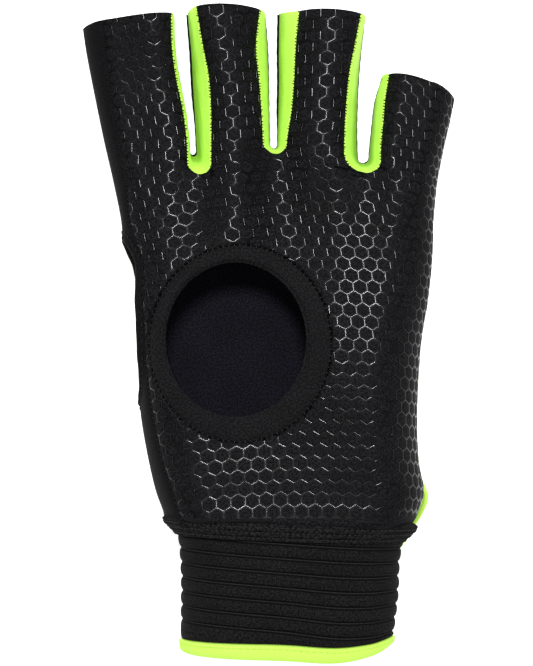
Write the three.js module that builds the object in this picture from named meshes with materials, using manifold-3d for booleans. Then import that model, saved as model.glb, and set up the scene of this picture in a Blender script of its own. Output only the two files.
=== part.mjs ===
/*
 * A left-hand field hockey glove with half-length open fingers, lying on its padded back
 * with the palm up. Millimetres, +Z up, X from the thumb side to the little finger side,
 * Y from the wrist to the fingertips.
 *
 * The glove is sewn from panels. Each panel is a curved sheet, worked out on a grid of
 * rows (along the hand) and columns (across it), and thickened inwards. Panels that meet
 * at a seam are cut back from each other by SEAM_GAP.
 */
import * as THREE from 'three';
import { mergeVertices } from 'three/addons/utils/BufferGeometryUtils.js';
import Module from 'manifold-3d';

const wasm = await Module();
wasm.setup();

// Cloth and foam thicknesses
const PALM_WALL = 1.8;
const BACK_WALL = 2.2;
const FOURCHETTE_WALL = 1.2;
const RING_WALL = 2.4;
const SEAM_GAP = 0.3;

// Heights above the surface that the glove lies on
const HAND_BASE = 7.3;
const FINGER_BASE = 5.3;
const HAND_SIDE = 18;
const FINGER_SIDE = 15;
const ROOT_CROWN = 28;
const EDGE_DROP = 3.2;
const BACK_RISE = 3.2;

// How far in from the outline the sides start to roll over, on the hand and on the fingers
const HAND_ROLL = 16;
const FINGER_ROLL = 9;
const UNDER_SEAM_ANGLE = THREE.MathUtils.degToRad(125);

// Where the glove changes from hand to fingers, and where its middle lies
const WRIST_Y = -61;
const HAND_TO_FINGER = { from: 20, to: 60 };
const KNUCKLES = { from: 42, to: 56 };
const CENTRE = { x: 0.7, y: 1.2 };

// The skin: outline at both sides, the seam on the thumb side, and the height of the palm
const SKIN = [
  { y: -61.0, left: -29.5, seam: -22.5, right: 44.5, crown: 36.8 },
  { y: -59.0, left: -31.9, seam: -25.5, right: 46.6, crown: 38.8 },
  { y: -56.0, left: -32.6, seam: -27.0, right: 47.8, crown: 38.8 },
  { y: -50.0, left: -34.8, seam: -28.8, right: 49.6, crown: 38.4 },
  { y: -40.0, left: -37.2, seam: -32.3, right: 48.0, crown: 39.0 },
  { y: -27.0, left: -39.5, seam: -35.2, right: 47.5, crown: 39.4 },
  { y: -15.0, left: -40.7, seam: -37.0, right: 47.9, crown: 39.4 },
  { y: -2.0, left: -42.7, seam: -38.3, right: 48.9, crown: 39.2 },
  { y: 10.0, left: -44.0, seam: -39.2, right: 50.9, crown: 38.6 },
  { y: 22.0, left: -43.6, seam: -39.6, right: 52.2, crown: 37.6 },
  { y: 29.5, left: -45.3, seam: -41.4, right: 52.6, crown: 36.8 },
  { y: 36.0, left: -46.0, seam: -43.2, right: 52.8, crown: 36.0 },
  { y: 48.0, left: -48.5, seam: -43.9, right: 54.1, crown: 34.0 },
  { y: 60.0, left: -51.3, seam: -46.2, right: 56.5, crown: 32.0 },
  { y: 70.0, left: -53.4, seam: -48.2, right: 58.8, crown: 32.0 },
  { y: 80.0, left: -55.4, seam: -49.3, right: 60.5, crown: 32.0 },
  { y: 90.0, left: -57.3, seam: -50.5, right: 61.4, crown: 32.0 },
  { y: 100.0, left: -58.7, seam: -51.8, right: 62.0, crown: 32.0 },
];

// Soft hollows and mounds of the palm
const RELIEF = [
  { x: -9, y: -3, rx: 32, ry: 34, height: -5.0 },
  { x: -38, y: 0, rx: 26, ry: 60, height: -2.0 },
];

// The gaps between the fingers. A is the finger on the thumb side of the gap, B the other.
const NOTCHES = [
  {
    name: 'index_middle',
    palmRoot: { x: -20.5, y: 49.5 },
    backRoot: { x: -23.6, y: 57.0 },
    wristX: -11,
    edges: [
      { y: 50, palmA: -24.2, palmB: -17.6, backA: -24.4, backB: -22.7 },
      { y: 60, palmA: -24.5, palmB: -17.6, backA: -24.6, backB: -22.7 },
      { y: 70, palmA: -25.8, palmB: -17.7, backA: -25.7, backB: -23.3 },
      { y: 80, palmA: -27.9, palmB: -18.4, backA: -27.5, backB: -23.9 },
      { y: 90, palmA: -29.2, palmB: -20.3, backA: -29.1, backB: -24.4 },
      { y: 102, palmA: -29.4, palmB: -22.3, backA: -29.6, backB: -25.4 },
    ],
  },
  {
    name: 'middle_ring',
    palmRoot: { x: 3.0, y: 56.0 },
    backRoot: { x: 2.4, y: 59.0 },
    wristX: 7,
    edges: [
      { y: 50, palmA: -0.3, palmB: 5.8, backA: 1.4, backB: 3.3 },
      { y: 60, palmA: -0.7, palmB: 6.0, backA: 1.3, backB: 3.3 },
      { y: 70, palmA: -1.2, palmB: 7.5, backA: 1.0, backB: 3.5 },
      { y: 80, palmA: -2.0, palmB: 8.3, backA: 0.9, backB: 3.7 },
      { y: 90, palmA: -2.9, palmB: 8.8, backA: 0.6, backB: 3.6 },
      { y: 102, palmA: -1.6, palmB: 10.0, backA: -0.3, backB: 3.8 },
    ],
  },
  {
    name: 'ring_little',
    palmRoot: { x: 31.2, y: 49.8 },
    backRoot: { x: 30.9, y: 54.4 },
    wristX: 26,
    edges: [
      { y: 50, palmA: 24.5, palmB: 35.2, backA: 29.4, backB: 32.3 },
      { y: 58, palmA: 24.6, palmB: 35.3, backA: 29.2, backB: 32.7 },
      { y: 66, palmA: 24.9, palmB: 36.1, backA: 29.1, backB: 33.5 },
      { y: 74, palmA: 25.5, palmB: 36.9, backA: 29.3, backB: 34.5 },
      { y: 82, palmA: 26.4, palmB: 38.2, backA: 29.7, backB: 36.8 },
      { y: 90, palmA: 28.0, palmB: 39.0, backA: 30.4, backB: 38.0 },
      { y: 101, palmA: 30.2, palmB: 40.0, backA: 31.7, backB: 39.0 },
    ],
  },
];

// The fingertips' open ends, on the palm, on the back and, on the outer fingers, at the outline
const FINGERS = [
  {
    name: 'index', crown: 25.0, bow: 0.3, palmLeft: 98.1, palmRight: 100.2,
    outline: 96.0, backLeft: 97.4, backRight: 100.0,
  },
  {
    name: 'middle', crown: 26.5, bow: 0.9, palmLeft: 102.1, palmRight: 101.6,
    backLeft: 102.2, backRight: 102.0,
  },
  {
    name: 'ring', crown: 26.0, bow: 0.6, palmLeft: 101.2, palmRight: 100.1,
    backLeft: 102.2, backRight: 101.0,
  },
  {
    name: 'little', crown: 23.8, bow: 0.7, palmLeft: 81.5, palmRight: 78.7,
    outline: 73.9, backLeft: 82.0, backRight: 78.4,
  },
];

// The finger roots at the glove's two sides
const THUMB_SIDE_ROOT = { x: -50, y: 46 };
const LITTLE_SIDE_ROOT = { x: 58, y: 44 };

// The valleys that run from the finger gaps into the hand, and how square the fingers' backs are
const VALLEY = { halfWidth: 12, fadesFrom: 0.62 };
const EDGE_POWER = 2.2;
const FOURCHETTE_BELLY = 0.35;

// The round window in the palm and its ring
const WINDOW = { x: -9.5, y: -2.0, rx: 21.7, ry: 23.8 };
const RING_OUTSIDE = { x: -8.2, y: -3.2, rx: 28.0, ry: 30.3 };
const RING_PROUD = 0.2;
const RING_ROLL = 0.9;

// The thumb's opening in the side, and the rolled binding round it
const THUMB_HOLE = { y: 4.0, z: 19.3, ry: 26.0, rz: 8.2, depth: 8, slant: 0.02 };
const THUMB_BINDING_RADIUS = 1.6;
const THUMB_BINDING_SEAT = 1.1;

// The elastic wrist band, its ribs and its hem
const CUFF = [
  { y: -61.3, x: 7.4, halfWidth: 36.2, halfDepth: 15.8 },
  { y: -68.0, x: 7.2, halfWidth: 34.8, halfDepth: 15.8 },
  { y: -80.0, x: 7.3, halfWidth: 34.1, halfDepth: 15.8 },
  { y: -94.0, x: 6.5, halfWidth: 33.4, halfDepth: 16.0 },
  { y: -101.0, x: 6.3, halfWidth: 33.0, halfDepth: 16.0 },
];
const CUFF_CENTRE_Z = 21.5;
const CUFF_SQUARENESS = 2.35;
const CUFF_WALL = 3.2;
const HEM_TOP_Y = -95.6;
const HEM_END_Y = -100.4;
const RIBS = 8;
const RIB_HEIGHT = 1.1;
const RIB_TILT = 0.035;
const HEM_PROUD = 0.3;
const HEM_WALL = 3.7;
const HEM_BOW = { left: 0.9, right: 2.6 };

// The foam guard on the back of the hand, its edging, and the pads behind the fingers
const GUARD_TOP = 7.0;
const GUARD_WRIST_TOP = 4.4;
const GUARD_THIN_FROM = -52;
const GUARD_THIN_TO = -60;
const EDGING_WIDTH = 1.6;
const EDGING_TOP_DROP = 0.7;
const EDGING_BASE = 0.3;
const GUARD_BEVEL = 1.2;
const PAD_TOP = 5.0;
const PAD_INSET = 1.6;
const PAD_BEVEL = 1.0;
const PAD_ENDS = { from: 0.12, to: 0.96, corner: 0.05 };
const GUARD = [
  { y: -75.0, left: 11.0, right: 30.0 },
  { y: -73.5, left: 2.5, right: 37.5 },
  { y: -69.5, left: -6.0, right: 43.2 },
  { y: -64.0, left: -14.5, right: 46.8 },
  { y: -58.0, left: -21.5, right: 50.6 },
  { y: -52.5, left: -25.8, right: 52.2 },
  { y: -47.0, left: -28.3, right: 50.2 },
  { y: -38.0, left: -31.0, right: 46.4 },
  { y: -20.0, left: -34.0, right: 44.0 },
  { y: 0.0, left: -36.5, right: 44.4 },
  { y: 20.0, left: -39.0, right: 46.5 },
  { y: 33.0, left: -40.2, right: 47.4 },
  { y: 39.0, left: -38.3, right: 45.6 },
  { y: 42.0, left: -33.0, right: 40.0 },
];

const lerp = THREE.MathUtils.lerp;
const clamp = THREE.MathUtils.clamp;
const smoothstep = THREE.MathUtils.smoothstep;

/** Reads a column of a table at a place along its y, on a smooth curve through the rows. */
function read(table, y, column) {
  const rows = table[0].y < table[table.length - 1].y ? table : [...table].reverse();
  const last = rows.length - 1;
  const at = clamp(y, rows[0].y, rows[last].y);
  let i = 0;
  while (i < last - 1 && at > rows[i + 1].y) i += 1;
  const slope = (k) => {
    const before = rows[Math.max(k - 1, 0)];
    const after = rows[Math.min(k + 1, last)];
    return (after[column] - before[column]) / (after.y - before.y);
  };
  const span = rows[i + 1].y - rows[i].y;
  const t = (at - rows[i].y) / span;
  const t2 = t * t;
  const t3 = t2 * t;
  return (
    (2 * t3 - 3 * t2 + 1) * rows[i][column] +
    (t3 - 2 * t2 + t) * span * slope(i) +
    (3 * t2 - 2 * t3) * rows[i + 1][column] +
    (t3 - t2) * span * slope(i + 1)
  );
}

const toFinger = (y) => smoothstep(y, HAND_TO_FINGER.from, HAND_TO_FINGER.to);
const rollWidth = (y) => lerp(HAND_ROLL, FINGER_ROLL, toFinger(y));
const sideHeight = (y) => lerp(HAND_SIDE, FINGER_SIDE, toFinger(y));
const baseHeight = (y) => lerp(HAND_BASE, FINGER_BASE, smoothstep(y, KNUCKLES.from, KNUCKLES.to));

/** The y of the finger roots at x: straight lines through the ends of the gaps. */
function rootLine(x, layer) {
  const ends = [THUMB_SIDE_ROOT, ...NOTCHES.map((notch) => notch[`${layer}Root`]), LITTLE_SIDE_ROOT];
  let i = 0;
  while (i < ends.length - 2 && x > ends[i + 1].x) i += 1;
  return lerp(ends[i].y, ends[i + 1].y, (x - ends[i].x) / (ends[i + 1].x - ends[i].x));
}

/** How far along the hand a place is: 0 at the wrist, 1 at the finger roots. */
function handShare(x, y, layer) {
  return clamp((y - WRIST_Y) / (rootLine(x, layer) - WRIST_Y), 0, 1);
}

/** x of the line that runs from the wrist to the end of a gap between two fingers. */
function valleyX(notch, share, layer) {
  return lerp(notch.wristX, notch[`${layer}Root`].x, smoothstep(share, 0, 1));
}

/** How much of the valley between two fingers there is at a place on the hand, 0 to 1. */
function valley(x, y, layer) {
  const share = handShare(x, y, layer);
  const away = NOTCHES.map((notch) => Math.abs(x - valleyX(notch, share, layer)));
  const inReach = clamp(Math.min(...away) / VALLEY.halfWidth, 0, 1);
  return (smoothstep(share, VALLEY.fadesFrom, 1) * (1 + Math.cos(Math.PI * inReach))) / 2;
}

/** Height of the palm over the hand, before its sides roll over. */
function handTop(x, y) {
  const blend = smoothstep(handShare(x, y, 'palm'), 0.45, 1);
  let z = read(SKIN, y, 'crown');
  for (const mound of RELIEF) {
    z += mound.height * Math.exp(-(((x - mound.x) / mound.rx) ** 2) - ((y - mound.y) / mound.ry) ** 2);
  }
  return lerp(z, ROOT_CROWN, blend) - EDGE_DROP * valley(x, y, 'palm');
}

/** Height of the palm's outer face at a place on the hand, with its sides rolled over. */
function palmHeight(x, y) {
  const roll = rollWidth(y);
  const side = sideHeight(y);
  const left = clamp((read(SKIN, y, 'left') + roll - x) / roll, 0, 1);
  const right = clamp((x - read(SKIN, y, 'right') + roll) / roll, 0, 1);
  const turn = Math.max(left, right);
  return side + (handTop(x, y) - side) * Math.sqrt(1 - turn * turn);
}

/** A gap's edge: side A or B, at a share of the finger's length, on the palm or the back. */
function notchEdge(index, side, share, layer, grow = 0) {
  const notch = NOTCHES[index];
  const finger = FINGERS[side === 'A' ? index : index + 1];
  const root = notch[`${layer}Root`];
  const tip = finger[`${layer}${side === 'A' ? 'Right' : 'Left'}`];
  const outward = side === 'A' ? 1 : -1;
  const y = lerp(root.y + grow, tip + grow, share);
  const straight = read(notch.edges, y, `${layer}${side}`) + outward * grow;
  const radius = Math.max(Math.abs(straight - root.x), 0.4);
  const climb = clamp((y - root.y - grow) / radius, 0, 1);
  return { x: lerp(root.x, straight, Math.sqrt(climb * (2 - climb))), y };
}

/** The line between two fingers' columns: one line on the hand, two edges on the fingers. */
function columnEdge(index, side, row, layer, grow) {
  if (row > 1) return notchEdge(index, side, row - 1, layer, grow);
  const notch = NOTCHES[index];
  const root = notch[`${layer}Root`];
  return { x: valleyX(notch, row, layer), y: lerp(WRIST_Y - grow, root.y + grow, row) };
}

/** y of the outer side of the index or little finger at a row and an angle round the side. */
function outerY(finger, row, grow, angle) {
  const thumbSide = finger === 0;
  const root = (thumbSide ? THUMB_SIDE_ROOT : LITTLE_SIDE_ROOT).y + grow;
  if (row <= 1) return lerp(WRIST_Y - grow, root, row);
  const layer = angle < Math.PI / 2 ? 'palm' : 'back';
  const flat = FINGERS[finger][`${layer}${thumbSide ? 'Left' : 'Right'}`];
  const tip = lerp(flat, FINGERS[finger].outline, Math.sin(angle) ** 1.5) + grow;
  return lerp(root, tip, row - 1);
}

/** The two ends of a finger's row of columns, before the sides roll over. */
function rowEnds(finger, row, layer, grow) {
  const ends = [];
  if (finger === 0) {
    const y = outerY(0, row, grow, layer === 'palm' ? 0 : Math.PI);
    ends.push({ x: read(SKIN, y, 'left') + rollWidth(y), y });
  } else {
    ends.push(columnEdge(finger - 1, 'B', row, layer, grow));
  }
  if (finger === FINGERS.length - 1) {
    const y = outerY(finger, row, grow, layer === 'palm' ? 0 : Math.PI);
    ends.push({ x: read(SKIN, y, 'right') - rollWidth(y), y });
  } else {
    ends.push(columnEdge(finger, 'A', row, layer, grow));
  }
  return ends;
}

/** How far across a finger a column is, from 0 in the middle to 1 at a sewn edge. */
function edgeShare(finger, across) {
  if (finger === 0) return clamp(2 * across - 1, 0, 1);
  if (finger === FINGERS.length - 1) return clamp(1 - 2 * across, 0, 1);
  return Math.abs(2 * across - 1);
}

/** A point of a finger's columns: on the hand up to row 1, on the finger from row 1 to 2. */
function surfacePoint(finger, across, row, layer, grow) {
  const [start, end] = rowEnds(finger, row, layer, grow);
  const { bow, crown } = FINGERS[finger];
  const x = lerp(start.x, end.x, across);
  const along = clamp(row - 1, 0, 1);
  const tipBow = layer === 'palm' ? bow * along ** 3 * 4 * across * (1 - across) : 0;
  const y = lerp(start.y, end.y, across) + tipBow;
  const sewnEdge = edgeShare(finger, across) ** EDGE_POWER;
  const dip = lerp(valley(x, y, layer), sewnEdge, smoothstep(along, 0, 0.2));
  if (layer === 'back') return new THREE.Vector3(x, y, baseHeight(y) + BACK_RISE * dip);
  if (row <= 1) return new THREE.Vector3(x, y, handTop(x, y));
  return new THREE.Vector3(x, y, lerp(ROOT_CROWN, crown, along) - EDGE_DROP * dip);
}

/**
 * A point where a side rolls over. The angle is 0 where the palm starts to roll, a quarter
 * turn at the outline and a half turn where the side reaches the back.
 */
function rollPoint(finger, angle, row, grow) {
  const y = outerY(finger, row, grow, angle);
  const roll = rollWidth(y);
  const side = sideHeight(y);
  const thumbSide = finger === 0;
  const outline = read(SKIN, y, thumbSide ? 'left' : 'right');
  const inward = thumbSide ? 1 : -1;
  const x = outline + inward * roll * (1 - Math.sin(angle));
  const inner = outline + inward * roll;
  const fingerTop = lerp(ROOT_CROWN, FINGERS[finger].crown, clamp(row - 1, 0, 1));
  const top = row <= 1 ? handTop(inner, y) : fingerTop;
  const reach = angle < Math.PI / 2 ? top - side : side - baseHeight(y);
  return new THREE.Vector3(x, y, side + reach * Math.cos(angle));
}

/** The angle at which the thumb side's seam lies on the rolled side. */
function seamAngle(y) {
  const inset = (read(SKIN, y, 'seam') - read(SKIN, y, 'left')) / rollWidth(y);
  return Math.asin(clamp(1 - inset, 0, 1));
}

/** Numbers from a to b in a given number of steps, both ends included. */
function steps(a, b, count) {
  return Array.from({ length: count + 1 }, (_, i) => lerp(a, b, i / count));
}

/** A sheet's triangles from a grid of points, one array of points for each row. */
function gridTriangles(grid, flip = false) {
  const triangles = [];
  for (let i = 0; i + 1 < grid.length; i += 1) {
    for (let j = 0; j + 1 < grid[i].length; j += 1) {
      const a = grid[i][j];
      const b = grid[i][j + 1];
      const c = grid[i + 1][j + 1];
      const d = grid[i + 1][j];
      triangles.push(...(flip ? [[a, c, b], [a, d, c]] : [[a, b, c], [a, c, d]]));
    }
  }
  return triangles;
}

/** Welds triangles into an indexed geometry that holds positions alone. */
function weld(triangles) {
  const geometry = new THREE.BufferGeometry();
  const flat = triangles.flat().flatMap((p) => [p.x, p.y, p.z]);
  geometry.setAttribute('position', new THREE.Float32BufferAttribute(flat, 3));
  return mergeVertices(geometry, 1e-3);
}

/** A closed solid from an open sheet: its outer face, its inner face and its rim. */
function thicken(triangles, wall, lift = 0) {
  const sheet = weld(triangles.filter(([a, b, c]) => triangleArea(a, b, c) > 1e-4));
  sheet.computeVertexNormals();
  const position = sheet.attributes.position;
  const normal = sheet.attributes.normal;
  const index = sheet.index.array;
  const count = position.count;
  const vertices = new Float32Array(count * 6);
  for (let i = 0; i < count; i += 1) {
    const p = new THREE.Vector3().fromBufferAttribute(position, i);
    const n = new THREE.Vector3().fromBufferAttribute(normal, i);
    p.clone().addScaledVector(n, lift).toArray(vertices, i * 3);
    p.addScaledVector(n, -wall).toArray(vertices, (count + i) * 3);
  }
  const faces = [];
  const rims = new Map();
  for (let i = 0; i < index.length; i += 3) {
    const [a, b, c] = [index[i], index[i + 1], index[i + 2]];
    faces.push(a, b, c, count + a, count + c, count + b);
    for (const [p, q] of [[a, b], [b, c], [c, a]]) {
      if (rims.has(`${q},${p}`)) rims.delete(`${q},${p}`);
      else rims.set(`${p},${q}`, [p, q]);
    }
  }
  for (const [p, q] of rims.values()) {
    faces.push(q, p, count + p, q, count + p, count + q);
  }
  return solid(vertices, new Uint32Array(faces));
}

/** The largest of the bodies that a cut leaves. */
function largest(body) {
  return body.decompose().reduce((a, b) => (a.volume() > b.volume() ? a : b));
}

function triangleArea(a, b, c) {
  const ab = new THREE.Vector3().subVectors(b, a);
  const ac = new THREE.Vector3().subVectors(c, a);
  return ab.cross(ac).length() / 2;
}

function solid(vertProperties, triVerts) {
  return new wasm.Manifold(new wasm.Mesh({ numProp: 3, vertProperties, triVerts }));
}

/** A closed solid from a three.js geometry. */
function solidOf(geometry) {
  geometry.deleteAttribute('normal');
  geometry.deleteAttribute('uv');
  const merged = mergeVertices(geometry, 1e-4);
  return solid(new Float32Array(merged.attributes.position.array), new Uint32Array(merged.index.array));
}

/** A closed solid from triangles that enclose it. */
function enclosed(triangles) {
  return solidOf(weld(triangles.filter(([a, b, c]) => triangleArea(a, b, c) > 1e-6)));
}

/** A ring-shaped solid: closed loops of points, one after another round a closed path. */
function loopSolid(loops) {
  return enclosed(gridTriangles([...loops, loops[0]].map((loop) => [...loop, loop[0]])));
}

/** Angles of a whole turn in equal steps, without the last, which is the first again. */
function wholeTurn(count) {
  return steps(0, 2 * Math.PI, count).slice(0, -1);
}

const HAND_ROWS = [0, 0.009, 0.02, 0.04, 0.07, ...steps(0.12, 0.92, 10), 0.97, 1];
const FINGER_ROWS = [1, 1.012, 1.045, 1.1, 1.22, 1.38, 1.55, 1.72, 1.88, 2];
const INNER_COLUMNS = 4;
const OUTER_COLUMNS = 3;
const ROLL_COLUMNS = 4;

/** A finger's columns over the hand and the finger, with the rolled side where it has one. */
function band(finger, rows, layer, grow) {
  const inner = finger === 1 || finger === 2;
  const across = steps(0, 1, inner ? INNER_COLUMNS : OUTER_COLUMNS);
  return rows.map((row) => {
    const points = across.map((share) => surfacePoint(finger, share, row, layer, grow));
    if (inner) return points;
    const seam = finger === 0 ? seamAngle(outerY(0, row, grow, 1)) : UNDER_SEAM_ANGLE;
    const extra = (grow / HAND_ROLL) * (finger === 0 ? 1 : 0.8);
    const range = layer === 'palm' ? [0, seam + extra] : [seam - extra, Math.PI];
    const count = layer === 'palm' && finger === 0 ? 2 : ROLL_COLUMNS + 1;
    const angles = steps(range[0], range[1], count);
    const roll = angles.map((angle) => rollPoint(finger, angle, row, grow));
    if (layer === 'back') roll.reverse();
    roll.shift();
    return finger === 0 ? [...roll.reverse(), ...points] : [...points, ...roll];
  });
}

/** The palm or the back as a solid, larger at its edges by grow and thicker by it too. */
function panel(layer, wall, grow = 0) {
  const triangles = [];
  FINGERS.forEach((_, finger) => {
    for (const rows of [HAND_ROWS, FINGER_ROWS]) {
      triangles.push(...gridTriangles(band(finger, rows, layer, grow), layer === 'back'));
    }
  });
  return thicken(triangles, wall + grow, grow);
}

/** The lime strip that runs down one finger's side, round the gap's end and up the next. */
function fourchette(index) {
  const alongs = FINGER_ROWS.map((row) => row - 1);
  const path = [
    ...[...alongs].reverse().map((along) => ({ side: 'A', along })),
    ...alongs.slice(1).map((along) => ({ side: 'B', along })),
  ];
  const grid = path.map(({ side, along }) => {
    const finger = side === 'A' ? index : index + 1;
    const across = side === 'A' ? 1 : 0;
    const outward = side === 'A' ? 1 : -1;
    const palm = surfacePoint(finger, across, 1 + along, 'palm', 0);
    const back = surfacePoint(finger, across, 1 + along, 'back', 0);
    const spread = smoothstep(along, 0, 0.1);
    const belly = new THREE.Vector3(outward * spread, 1 - spread, 0).multiplyScalar(FOURCHETTE_BELLY);
    return steps(0.02, 0.98, 4).map((down) => {
      const point = new THREE.Vector3().lerpVectors(palm, back, down);
      return point.addScaledVector(belly, Math.sin(Math.PI * down));
    });
  });
  return thicken(gridTriangles(grid, true), FOURCHETTE_WALL);
}

/** A place on an ellipse that lies level, at an angle round it. */
function onEllipse(ellipse, turn) {
  return { x: ellipse.x + ellipse.rx * Math.cos(turn), y: ellipse.y + ellipse.ry * Math.sin(turn) };
}

/** A point of the band round the palm's window, from its inside (0) to its outside (1). */
function ringPoint(turn, share) {
  const inside = onEllipse(WINDOW, turn);
  const outside = onEllipse(RING_OUTSIDE, turn);
  const x = lerp(inside.x, outside.x, share);
  const y = lerp(inside.y, outside.y, share);
  const rolledDown = RING_ROLL * (1 - smoothstep(share, 0, 0.3));
  return new THREE.Vector3(x, y, palmHeight(x, y) + RING_PROUD - rolledDown);
}

/** The cloth band round the palm's window. */
function windowRing() {
  const rows = wholeTurn(40).map((turn) => [0, 0.12, 0.5, 1].map((share) => ringPoint(turn, share)));
  return thicken(gridTriangles([...rows, rows[0]], true), RING_WALL);
}

/** A cutter through the palm alone, upright, a little larger than the ring. */
function windowCutter() {
  const { x, y, rx, ry } = RING_OUTSIDE;
  const shape = new THREE.Shape();
  shape.absellipse(x, y, rx + SEAM_GAP, ry + SEAM_GAP, 0, 2 * Math.PI);
  const options = { depth: HAND_SIDE * 2, bevelEnabled: false, curveSegments: 40 };
  const prism = new THREE.ExtrudeGeometry(shape, options);
  return solidOf(prism.translate(0, 0, HAND_SIDE));
}

/** x of the outer face of the thumb side at a place on it. */
function sideX(y, z) {
  const side = sideHeight(y);
  const roll = rollWidth(y);
  const outline = read(SKIN, y, 'left');
  const top = handTop(outline + roll, y);
  const reach = z > side ? top - side : side - baseHeight(y);
  const rise = clamp(Math.abs(z - side) / reach, 0, 1);
  return outline + roll * (1 - Math.sqrt(1 - rise * rise));
}

/** A place on the thumb opening's rim, a given distance outside its edge. */
function thumbRim(turn, outside) {
  const along = (THUMB_HOLE.ry + outside) * Math.cos(turn);
  const up = (THUMB_HOLE.rz + outside) * Math.sin(turn) + THUMB_HOLE.slant * along;
  return { y: THUMB_HOLE.y + along, z: THUMB_HOLE.z + up };
}

/** A cutter that opens the thumb side, from outside it to a depth within. */
function thumbCutter(grow) {
  const side = read(SKIN, THUMB_HOLE.y, 'left');
  const middle = (x) => new THREE.Vector3(x, THUMB_HOLE.y, THUMB_HOLE.z);
  const rim = (x) => wholeTurn(28).map((turn) => {
    const { y, z } = thumbRim(turn, grow);
    return new THREE.Vector3(x, y, z);
  });
  const near = rim(side - THUMB_HOLE.depth);
  const far = rim(side + THUMB_HOLE.depth);
  const sections = [
    near.map(() => middle(side - THUMB_HOLE.depth)),
    near,
    far,
    far.map(() => middle(side + THUMB_HOLE.depth)),
  ];
  return enclosed(gridTriangles(sections.map((section) => [...section, section[0]])));
}

/** The rolled binding that runs round the thumb opening. */
function thumbBinding() {
  const turns = wholeTurn(32);
  const centre = turns.map((turn) => {
    const { y, z } = thumbRim(turn, 0);
    return new THREE.Vector3(sideX(y, z) + THUMB_BINDING_SEAT, y, z);
  });
  const loops = centre.map((point, i) => {
    const ahead = centre[(i + 1) % centre.length];
    const behind = centre[(i + centre.length - 1) % centre.length];
    const along = new THREE.Vector3().subVectors(ahead, behind).normalize();
    const away = new THREE.Vector3(0, Math.cos(turns[i]), Math.sin(turns[i]));
    away.addScaledVector(along, -away.dot(along)).normalize();
    const third = new THREE.Vector3().crossVectors(along, away);
    return wholeTurn(8).map((angle) => {
      const rounded = point.clone().addScaledVector(away, THUMB_BINDING_RADIUS * Math.cos(angle));
      return rounded.addScaledVector(third, THUMB_BINDING_RADIUS * Math.sin(angle));
    });
  });
  return loopSolid(loops);
}

/** A point of the wrist band's outside, out from its wall by a given amount. */
function cuffPoint(turn, y, out) {
  const cos = Math.cos(turn);
  const sin = Math.sin(turn);
  const rx = read(CUFF, y, 'halfWidth') + out;
  const rz = read(CUFF, y, 'halfDepth') + out;
  const corner = Math.abs(cos) ** CUFF_SQUARENESS + Math.abs(sin) ** CUFF_SQUARENESS;
  const reach = corner ** (-1 / CUFF_SQUARENESS);
  return new THREE.Vector3(read(CUFF, y, 'x') + rx * cos * reach, y, CUFF_CENTRE_Z + rz * sin * reach);
}

/** The ribbed wrist band, open at both ends. Its ribs run level at the ends and tilt between. */
function cuff() {
  const top = WRIST_Y - SEAM_GAP;
  const end = HEM_TOP_Y + SEAM_GAP;
  const pitch = (top - end) / RIBS;
  const outside = steps(0, RIBS, RIBS * 3).map((rib) => ({
    y: top - pitch * rib,
    out: RIB_HEIGHT * (Math.abs(Math.sin(Math.PI * rib)) ** 0.7 - 1),
  }));
  const inside = steps(end, top, 6).map((y) => ({ y, out: -CUFF_WALL }));
  const middle = read(CUFF, (top + end) / 2, 'x');
  const loops = wholeTurn(32).map((turn) => [...outside, ...inside].map(({ y, out }) => {
    const free = clamp(Math.min(top - y, y - end) / pitch, 0, 1);
    const point = cuffPoint(turn, y, out);
    point.y -= RIB_TILT * (point.x - middle) * free;
    return point;
  }));
  return loopSolid(loops.reverse());
}

/** A point of the hem, whose end bends up towards both sides. */
function hemPoint(turn, y, out) {
  const point = cuffPoint(turn, y, out);
  const across = Math.cos(turn);
  const bow = across < 0 ? HEM_BOW.left : HEM_BOW.right;
  point.y += bow * Math.abs(across) ** 3 * ((y - HEM_TOP_Y) / (HEM_END_Y - HEM_TOP_Y));
  return point;
}

/** The lime binding round the wrist band's end. */
function hem() {
  const at = (share) => lerp(HEM_TOP_Y, HEM_END_Y, share);
  const profile = [
    { y: at(0), out: HEM_PROUD },
    { y: at(0.5), out: HEM_PROUD * 2 },
    { y: at(0.85), out: HEM_PROUD },
    { y: at(1), out: -0.3 * HEM_WALL },
    { y: at(1), out: -0.6 * HEM_WALL },
    { y: at(0.8), out: HEM_PROUD - HEM_WALL },
    { y: at(0), out: HEM_PROUD - HEM_WALL },
  ];
  const loops = wholeTurn(40).map((turn) => profile.map(({ y, out }) => hemPoint(turn, y, out)));
  return loopSolid(loops.reverse());
}

/** A flat-bottomed pad: an outline of points, its height, and a bevelled upper edge. */
function pad(outline, heightAt, bevel) {
  const middle = outline.reduce((sum, p) => sum.add(p), new THREE.Vector3()).divideScalar(outline.length);
  const section = (inset, z) => insetLoop(outline, inset).map((p) => p.clone().setZ(z(p)));
  const sections = [
    outline.map(() => middle),
    section(bevel * 0.4, () => 0),
    section(0, () => bevel * 0.5),
    section(0, (p) => heightAt(p) - bevel),
    section(bevel, heightAt),
    outline.map(() => middle.clone().setZ(heightAt(middle))),
  ];
  return enclosed(gridTriangles(sections.map((points) => [...points, points[0]])));
}

/** A closed anticlockwise outline, moved inwards. */
function insetLoop(outline, inset) {
  return outline.map((p, i) => {
    const ahead = outline[(i + 1) % outline.length];
    const behind = outline[(i + outline.length - 1) % outline.length];
    const along = new THREE.Vector3().subVectors(ahead, behind).setZ(0).normalize();
    return new THREE.Vector3(p.x - along.y * inset, p.y + along.x * inset, 0);
  });
}

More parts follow.
